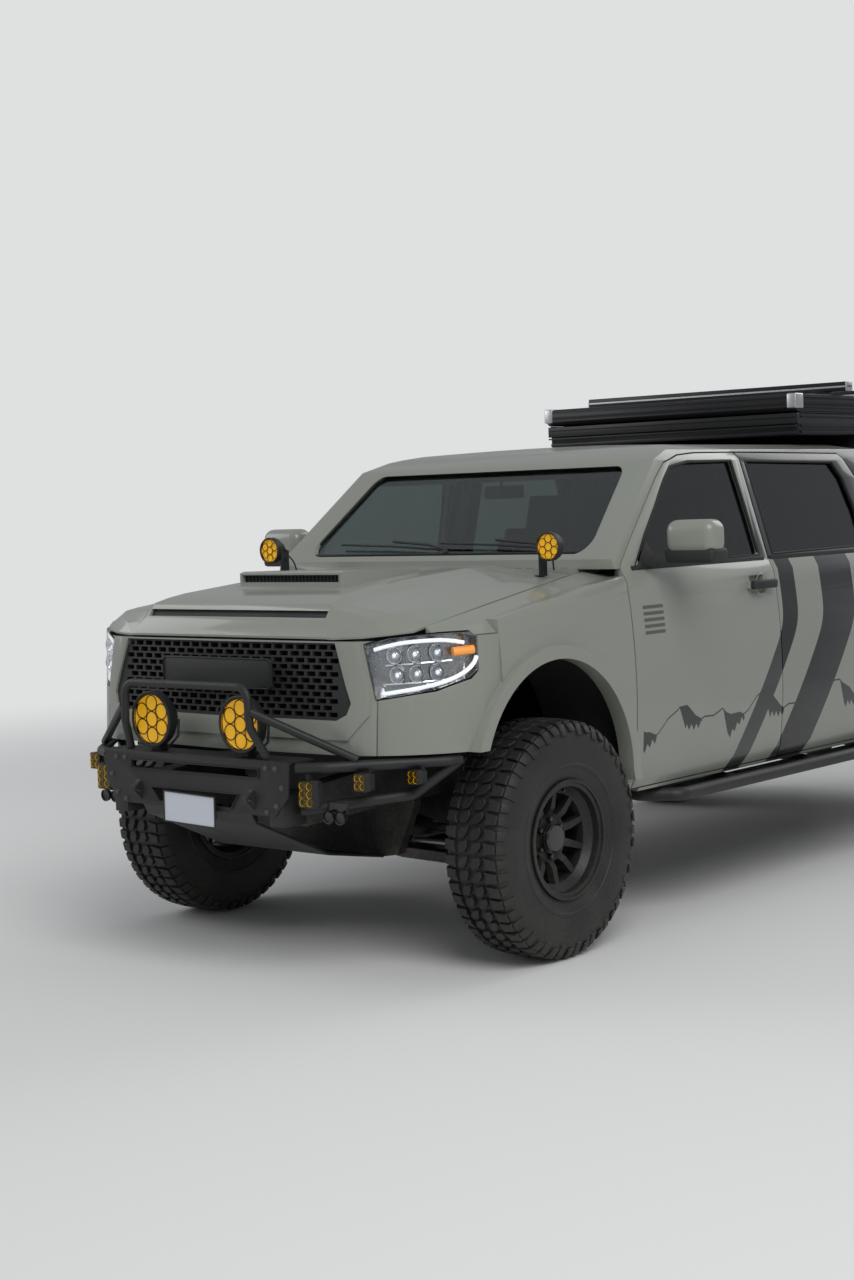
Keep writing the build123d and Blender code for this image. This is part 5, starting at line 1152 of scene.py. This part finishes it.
def camper_half(height):
    """Half-width of the camper's leaning side at a height."""
    lean = (SIDE_HEAD[0] - SIDE_FOOT[0]) / (SIDE_HEAD[1] - SIDE_FOOT[1])
    return SIDE_FOOT[0] + lean * (height - SIDE_FOOT[1])


def hatch_trim(side, name):
    """Pressed ribs, latches and rim of one side hatch, which leans inwards."""
    low, top = 1.545, 2.004
    low_x, top_x = (side * (camper_half(z) - 0.006) for z in (low, top))
    trims = []
    for d in (3.08, 3.45, 3.89, 4.33, 4.66):
        trims.append(plate(f"press_{name}_{d}", [at(low_x, d, low + 0.05), at(low_x, d + 0.03, low + 0.05),
                                                 at(top_x, d + 0.03, top - 0.05), at(top_x, d, top - 0.05)],
                           (side * 0.009, 0, 0), 0.002))
    z = 1.62
    x = camper_half(z)
    for d in (3.26, 4.50):
        trims.append(side_block(f"latch_{name}_{d}", side, (x, x + 0.011), back(d) - 0.045, back(d) + 0.045,
                                z - 0.03, z + 0.03, 0.004))
        trims.append(bar(f"latch_turn_{name}_{d}", (side * (x + 0.010), back(d), z),
                         (side * (x + 0.02), back(d), z), 0.018, 20, 0.002))
    low_x, top_x = (side * (camper_half(z) - 0.001) for z in (low, top))
    near, far = back(3.06), back(4.722)
    trims.append(pipe(f"hatch_rim_{name}", [(low_x, near, low + 0.012), (low_x, far, low + 0.012),
                                            (top_x, far, top - 0.012), (top_x, near, top - 0.012)],
                      0.005, closed=True))
    dress(joined(trims, f"hatch_trim_{name}"), DARK_ALLOY, f"hatch_{name}")


def cross_bars():
    """Ends, grooves, holes and bolts of the three bars on the tent."""
    ends, slots, feet = [], [], []
    for d in BAR_PLACES:
        y = back(d)
        for side in (-1, 1):
            ends.append(side_block(f"bar_end_{d}_{side}", side, (0.778, 0.7845), y - 0.001, y + 0.061,
                                   2.281, 2.3275, 0.0025))
            for number in range(3):
                slots.append(turned(f"bar_hole_{d}_{side}_{number}",
                                    (side * 0.7846, y + 0.014 + number * 0.016, 2.305), (side, 0, 0),
                                    [(0.0058, 0), (0.0058, 0.0004), (0, 0.0004)], 14))
            feet.append(bar(f"bar_bolt_{d}_{side}", (side * 0.63, y + 0.03, 2.262),
                            (side * 0.63, y + 0.03, 2.2665), 0.016, 6))
        for middle in (y - 0.0005, y + 0.0605):
            ends.append(block(f"bar_groove_{middle}", (-0.776, middle - 0.001, 2.300),
                              (0.776, middle + 0.001, 2.308)))
    for parts, name, material in ((ends, "ends", ALLOY), (slots, "holes", GLOSS_BLACK),
                                  (feet, "bolts", BARE_STEEL)):
        dress(joined(parts, "cross_bar_" + name), material, "tent_lid")


def camper_and_tent():
    """Ribs, corner brackets, seal, cross bars, hatch rims and latches of the camper and the tent."""
    half, front, rear = TENT_HALF, TENT_FRONT, REAR_FACE
    upper_front = (back(2.3585), back(2.372))
    tent_ribs("base", "chassis", ((2.0705, 2.084), (2.104, 2.112), (2.150, 2.158)), half - 0.004,
              half + 0.005, (back(2.40), rear - 0.01), 0.74,
              ((back(2.379), back(2.39)), upper_front, upper_front))
    tent_ribs("lid", "tent_lid", ((2.196, 2.204), (2.214, 2.232), (2.244, 2.250)), half - 0.002,
              half + 0.0055, (back(2.42), rear - 0.03), 0.70, ((front - 0.004, front + 0.006),) * 3)
    corners, seam = [], []
    for side in (-1, 1):
        for end, reach in ((front, 1), (rear, -1)):
            near, far = sorted((end - 0.003 * reach, end + 0.075 * reach))
            corners.append(side_block(f"corner_{side}_{reach}", side, (half - 0.045, half + 0.0065), near,
                                      far, 2.192, 2.2645, 0.006, 3))
        seam.append(side_block(f"seal_{side}", side, (half - 0.006, half + 0.002), back(2.39), rear - 0.004,
                               2.1715, 2.176))
    dress(joined(corners, "tent_corners"), ALLOY, "tent_lid")
    dress(joined(seam, "tent_seal"), RUBBER, "chassis")
    cross_bars()
    hatch_trim(1, "left")
    hatch_trim(-1, "right")
    y = rear - 0.02
    trims = [pipe("rear_hatch_rim", [(-0.775, y, 1.505), (0.775, y, 1.505), (0.715, y, 1.985),
                                     (-0.715, y, 1.985)], 0.005, closed=True)]
    for x in (-0.45, 0.45):
        trims.append(block(f"rear_latch_{x}", (x - 0.045, y - 0.002, 1.55), (x + 0.045, y + 0.012, 1.60),
                           0.004))
        trims.append(bar(f"rear_latch_turn_{x}", (x, y + 0.01, 1.575), (x, y + 0.018, 1.575), 0.016, 20,
                         0.002))
    dress(joined(trims, "rear_hatch_trim"), DARK_ALLOY, "hatch_rear")


# Rear and spare wheel
def rear_trim():
    """Tail lamps' ribs, tailgate handle, rear plate, step pads, and rim and tread of the spare wheel."""
    y = REAR_FACE
    ribs = []
    for height in (1.17, 1.225, 1.28, 1.335, 1.39):
        ribs.append(block(f"lamp_rib_{height}", (0.872, y + 0.018, height - 0.005),
                          (0.985, y + 0.0235, height + 0.005), 0.002))
    both_sides(joined(ribs, "tail_lamp_ribs"), RED_LENS, CHASSIS)
    reverse_lamp = block("reverse_lamp", (0.876, y + 0.019, 1.232), (0.984, y + 0.0245, 1.273), 0.003)
    both_sides(reverse_lamp, LENS, CHASSIS)
    handle = [block("gate_handle", (-0.085, y - 0.018, 1.352), (0.085, y - 0.004, 1.387), 0.005, 3),
              block("gate_recess", (-0.112, y - 0.026, 1.338), (0.112, y - 0.0235, 1.402))]
    dress(joined(handle, "tailgate_handle"), GLOSS_BLACK, "tailgate")
    spare = Vector(at(0, 4.34, 0.0))
    rim = turned("spare_rim", spare + Vector((0, 0, 0.5)), (0, 0, -1),
                 [(0.189, -0.05), (0.189, 0.012), (0.182, 0.018), (0.172, -0.02), (0.11, -0.045),
                  (0.06, -0.03), (0.036, -0.03)], 48)
    dress(rim, RIM_BLACK, "chassis", 35)
    lugs = []
    for row, (low, high) in enumerate(((0.49, 0.563), (0.577, 0.65))):
        for number in range(36):
            angle = 2 * math.pi * (number + 0.5 * row) / 36
            lug = block(f"spare_lug_{row}_{number}", (0.345, -0.021, low), (0.361, 0.021, high), 0.003)
            lug.matrix_world = Matrix.Translation(spare) @ Matrix.Rotation(angle, 4, "Z")
            lugs.append(settle(lug))
    dress(joined(lugs, "spare_tread"), TYRE_RUBBER, "chassis", 30)
    y = REAR_FACE + 0.066
    carrier = block("rear_plate_back", (-0.165, y - 0.06, 0.655), (0.165, y - 0.046, 0.742), 0.002)
    sign = block("rear_plate", (-0.152, y - 0.0455, 0.664), (0.152, y - 0.0435, 0.738), 0.0008)
    dress(carrier, BLACK_PLASTIC, "chassis")
    dress(sign, WHITE_PLATE, "chassis")
    pads = [block("rear_step_pad", (-0.44, y - 0.045, 0.789), (0.44, y + 0.004, 0.7935), 0.0015)]
    for side in (-1, 1):
        pads.append(side_block(f"rear_step_pad_{side}", side, (0.50, 0.86), y - 0.04, y - 0.004, 0.789,
                               0.7935, 0.0015))
    pads += block_row("pad_rib", [-0.4 + number * 0.1 for number in range(9)], 0.02, (y - 0.04, 0.7932),
                      (y, 0.795), 0.0006)
    dress(joined(pads, "step_pads"), RUBBER, "chassis")


seats_and_cabin()
camper_and_tent()
rear_trim()


# Doors inside, engine bay and small fittings
CARD_LINE = [(0.912, 0.770), (0.9185, 0.86), (0.9205, 0.95), (0.9185, 1.07), (0.9135, 1.19), (0.903, 1.30),
             (0.892, 1.40)]


def door_cards():
    """Dark inner linings with arm rests, pulls, speakers and switches."""
    for end, first, last in (("front", 0.64, 1.64), ("rear", 1.80, 2.70)):
        bodies = (f"door_{end}_left", f"door_{end}_right")
        corners = [at(x - 0.001, first, z) for x, z in CARD_LINE]
        corners += [at(x - 0.014, first, z) for x, z in reversed(CARD_LINE)]
        card = plate(end + "_card", corners, (0, last - first, 0), 0.003)
        both_sides(card, BLACK_PLASTIC, bodies, 40)
        middle = (first + last) / 2
        rest = block(end + "_arm_rest", at(0.862, middle - 0.26, 1.075), at(0.91, middle + 0.24, 1.115),
                     0.014, 3)
        both_sides(rest, SEAT_CLOTH, bodies, 50)
        pull = [at(0.905, middle + 0.02, 1.14), at(0.882, middle + 0.035, 1.15),
                at(0.882, middle + 0.175, 1.16), at(0.9, middle + 0.19, 1.165)]
        fittings = [turned(end + "_speaker", at(0.9065, first + 0.17, 0.90), (-1, 0, 0),
                           [(0.085, 0), (0.085, 0.008), (0.078, 0.011), (0.074, 0.006), (0, 0.009)], 36),
                    block(end + "_switches", at(0.868, middle - 0.22, 1.1135),
                          at(0.90, middle - 0.08, 1.1185), 0.002),
                    pipe(end + "_pull", pull, 0.008)]
        for number in range(3):
            fittings.append(block(f"{end}_pocket_{number}", at(0.892, middle - 0.1, 0.80 + number * 0.035),
                                  at(0.905, middle + 0.34, 0.812 + number * 0.035), 0.003))
        both_sides(joined(fittings, end + "_card_fittings"), GLOSS_BLACK, bodies, 40)


def engine_bay():
    """Engine cover, battery, air box, fuse box, hoses and fluid tank."""
    cover = [block("engine_cover", at(-0.2, -0.34, 1.285), at(0.2, 0.2, 1.325), 0.016, 3)]
    cover += block_row("cover_rib", [-0.12 + number * 0.06 for number in range(5)], 0.008,
                       (back(-0.31), 1.322), (back(0.16), 1.331), 0.003)
    for side in (-1, 1):
        for number in range(4):
            y = back(-0.27 + number * 0.13)
            cover.append(bar(f"runner_{side}_{number}", (side * 0.19, y, 1.305), (side * 0.262, y, 1.262),
                             0.02, 16))
    dress(joined(cover, "engine_cover"), BLACK_PLASTIC, "chassis", 40)
    battery = [block("battery", at(0.33, 0.1, 1.03), at(0.51, 0.36, 1.23), 0.008),
               block("battery_lid", at(0.326, 0.096, 1.22), at(0.514, 0.364, 1.25), 0.006),
               block("air_box", at(-0.54, 0.05, 1.02), at(-0.31, 0.38, 1.2), 0.015, 3),
               block("air_box_lid", at(-0.545, 0.045, 1.205), at(-0.305, 0.385, 1.27), 0.02, 3),
               block("fuse_box", at(0.345, -0.28, 1.08), at(0.46, -0.05, 1.2), 0.01)]
    dress(joined(battery, "battery_and_air_box"), GLOSS_BLACK, "chassis", 40)
    trays = [block("battery_tray", at(0.32, 0.09, 1.0), at(0.545, 0.37, 1.03), 0.003),
             block("air_box_tray", at(-0.55, 0.04, 0.996), at(-0.31, 0.39, 1.022), 0.003)]
    for x in (0.43, -0.43):
        trays.append(block(f"tray_post_{x}", at(x - 0.02, 0.2, 0.95), at(x + 0.02, 0.26, 1.01)))
    trays.append(block("fuse_box_post", at(0.40, -0.18, 0.9), at(0.43, -0.14, 1.09)))
    dress(joined(trays, "engine_bay_trays"), CHASSIS_BLACK, "chassis")
    intake = [at(-0.31, 0.2, 1.24), at(-0.24, 0.2, 1.30), at(-0.15, 0.24, 1.33), at(0, 0.235, 1.32),
              at(0.03, 0.19, 1.31)]
    coolant = [at(0.16, -0.43, 1.15), at(0.2, -0.5, 1.17), at(0.22, -0.56, 1.15)]
    lead = [at(0.36, 0.12, 1.25), at(0.34, 0.0, 1.28), at(0.27, -0.1, 1.29)]
    hoses = [pipe("intake_hose", intake, 0.028, smooth_line=True, sides=6),
             pipe("coolant_hose", coolant, 0.021, smooth_line=True, sides=6),
             pipe("cable", lead, 0.007, smooth_line=True)]
    dress(joined(hoses, "engine_hoses"), RUBBER, "chassis", 50)
    tank = turned("fluid_tank", at(-0.43, -0.12, 1.02), (0, 0, 1),
                  [(0.055, 0), (0.055, 0.12), (0.04, 0.14), (0, 0.14)], 28)
    dress(tank, WHITE_PLATE, "chassis", 40)
    cap = turned("fluid_cap", at(-0.43, -0.12, 1.159), (0, 0, 1), [(0.026, 0), (0.026, 0.018), (0, 0.018)],
                 20)
    dress(cap, GLOSS_BLACK, "chassis")
    post = block("fluid_tank_post", at(-0.46, -0.15, 0.93), at(-0.40, -0.09, 1.022), 0.002)
    dress(post, CHASSIS_BLACK, "chassis")


def hood_inserts():
    """Black inserts in the scoop and in the slot of the hood."""
    scoop = [block("scoop_back", at(-0.2675, -0.396, 1.4935), at(0.2675, -0.392, 1.5215))]
    scoop += block_row("scoop_bar", [-0.26 + number * 0.02 for number in range(27)], 0.0015,
                       (back(-0.402), 1.4935), (back(-0.395), 1.5215))
    slot = plate("slot_insert", [at(-0.4885, -0.721, 1.3745), at(0.4885, -0.721, 1.3745),
                                 at(0.4885, -0.704, 1.399), at(-0.4885, -0.704, 1.399)], (0, 0.003, 0))
    dress(joined(scoop + [slot], "hood_inserts"), BLACK_PLASTIC, "hood")


def mattress():
    """Quilted mattress on the floor of the tent."""
    for number, (near, far) in enumerate(((2.425, 3.21), (3.215, 3.995), (4.0, 4.775))):
        part = cushion(f"mattress_{number}", at(-0.705, near, 2.097), at(0.705, far, 2.152), 0.0, 0.004)
        dress(part, TENT_GREY, "chassis", 50)


door_cards()
engine_bay()
hood_inserts()
mattress()


# Floor, light and camera
def stage_floor():
    """Pale floor that fades into the background and is clear from below."""
    deselect()
    bpy.ops.mesh.primitive_circle_add(vertices=96, radius=30, fill_type="NGON", location=(0, 0, -0.001))
    floor = named("studio_floor")
    material = bpy.data.materials.new("Studio floor")
    material.use_nodes = True
    tree = material.node_tree
    tree.nodes.clear()
    surface = add_node(tree, "ShaderNodeBsdfDiffuse", {"Color": (0.78, 0.78, 0.77, 1)})
    clear = tree.nodes.new("ShaderNodeBsdfTransparent")
    far = add_node(tree, "ShaderNodeVectorMath", {0: object_place(tree)}, operation="LENGTH")
    fade = ramp_between(tree, far.outputs["Value"], 4.5, 11.0)
    under = tree.nodes.new("ShaderNodeNewGeometry")
    mask = math_node(tree, "MAXIMUM", fade, under.outputs["Backfacing"])
    mix = add_node(tree, "ShaderNodeMixShader", {0: mask, 1: surface.outputs[0], 2: clear.outputs[0]})
    add_node(tree, "ShaderNodeOutputMaterial", {"Surface": mix.outputs[0]})
    floor.data.materials.append(material)


def studio_light():
    """Pale world and three large soft lamps."""
    world = bpy.data.worlds.new("Studio")
    bpy.context.scene.world = world
    world.use_nodes = True
    tree = world.node_tree
    tree.nodes.clear()
    ambient = add_node(tree, "ShaderNodeBackground", {"Color": (0.86, 0.88, 0.92, 1), "Strength": 0.4})
    seen = add_node(tree, "ShaderNodeBackground", {"Color": (0.74, 0.745, 0.75, 1), "Strength": 1.0})
    path = tree.nodes.new("ShaderNodeLightPath")
    direct = math_node(tree, "MAXIMUM", path.outputs["Is Camera Ray"], path.outputs["Is Transmission Ray"])
    mix = add_node(tree, "ShaderNodeMixShader", {0: direct, 1: ambient.outputs[0], 2: seen.outputs[0]})
    add_node(tree, "ShaderNodeOutputWorld", {"Surface": mix.outputs[0]})
    for name, place, size, power in [
        ("key", (7.0, -6.0, 8.0), 7.0, 540),
        ("fill", (-8.0, -5.0, 5.0), 6.0, 190),
        ("rim", (2.0, 9.0, 7.0), 7.0, 240),
    ]:
        data = bpy.data.lights.new(name, "AREA")
        data.shape = "DISK"
        data.size = size
        data.energy = power
        lamp = bpy.data.objects.new(name, data)
        bpy.context.scene.collection.objects.link(lamp)
        lamp.location = place
        lamp.rotation_euler = (Vector((0, 0, 1.0)) - Vector(place)).to_track_quat("-Z", "Y").to_euler()


CAMERA_PLACE = (5.714, -8.266, 1.788)
CAMERA_TURN = 0.70082
CAMERA_DOWN = 0.06639
CAMERA_ROLL = -0.03317
CAMERA_LENS = 57.32


def photo_camera():
    """Camera at the place, turn and focal length of the photograph."""
    data = bpy.data.cameras.new("photo_camera")
    data.lens = CAMERA_LENS
    data.sensor_width = 36
    data.clip_end = 200
    camera = bpy.data.objects.new("photo_camera", data)
    bpy.context.scene.collection.objects.link(camera)
    ahead = Vector((-math.sin(CAMERA_TURN) * math.cos(CAMERA_DOWN),
                    math.cos(CAMERA_TURN) * math.cos(CAMERA_DOWN), -math.sin(CAMERA_DOWN)))
    level = Vector((math.cos(CAMERA_TURN), math.sin(CAMERA_TURN), 0))
    upright = level.cross(ahead)
    right = level * math.cos(CAMERA_ROLL) + upright * math.sin(CAMERA_ROLL)
    up = upright * math.cos(CAMERA_ROLL) - level * math.sin(CAMERA_ROLL)
    camera.matrix_world = Matrix(((right.x, up.x, -ahead.x, CAMERA_PLACE[0]),
                                  (right.y, up.y, -ahead.y, CAMERA_PLACE[1]),
                                  (right.z, up.z, -ahead.z, CAMERA_PLACE[2]),
                                  (0, 0, 0, 1)))
    bpy.context.scene.camera = camera


stage_floor()
studio_light()
photo_camera()
bpy.context.scene.view_settings.view_transform = "Standard"
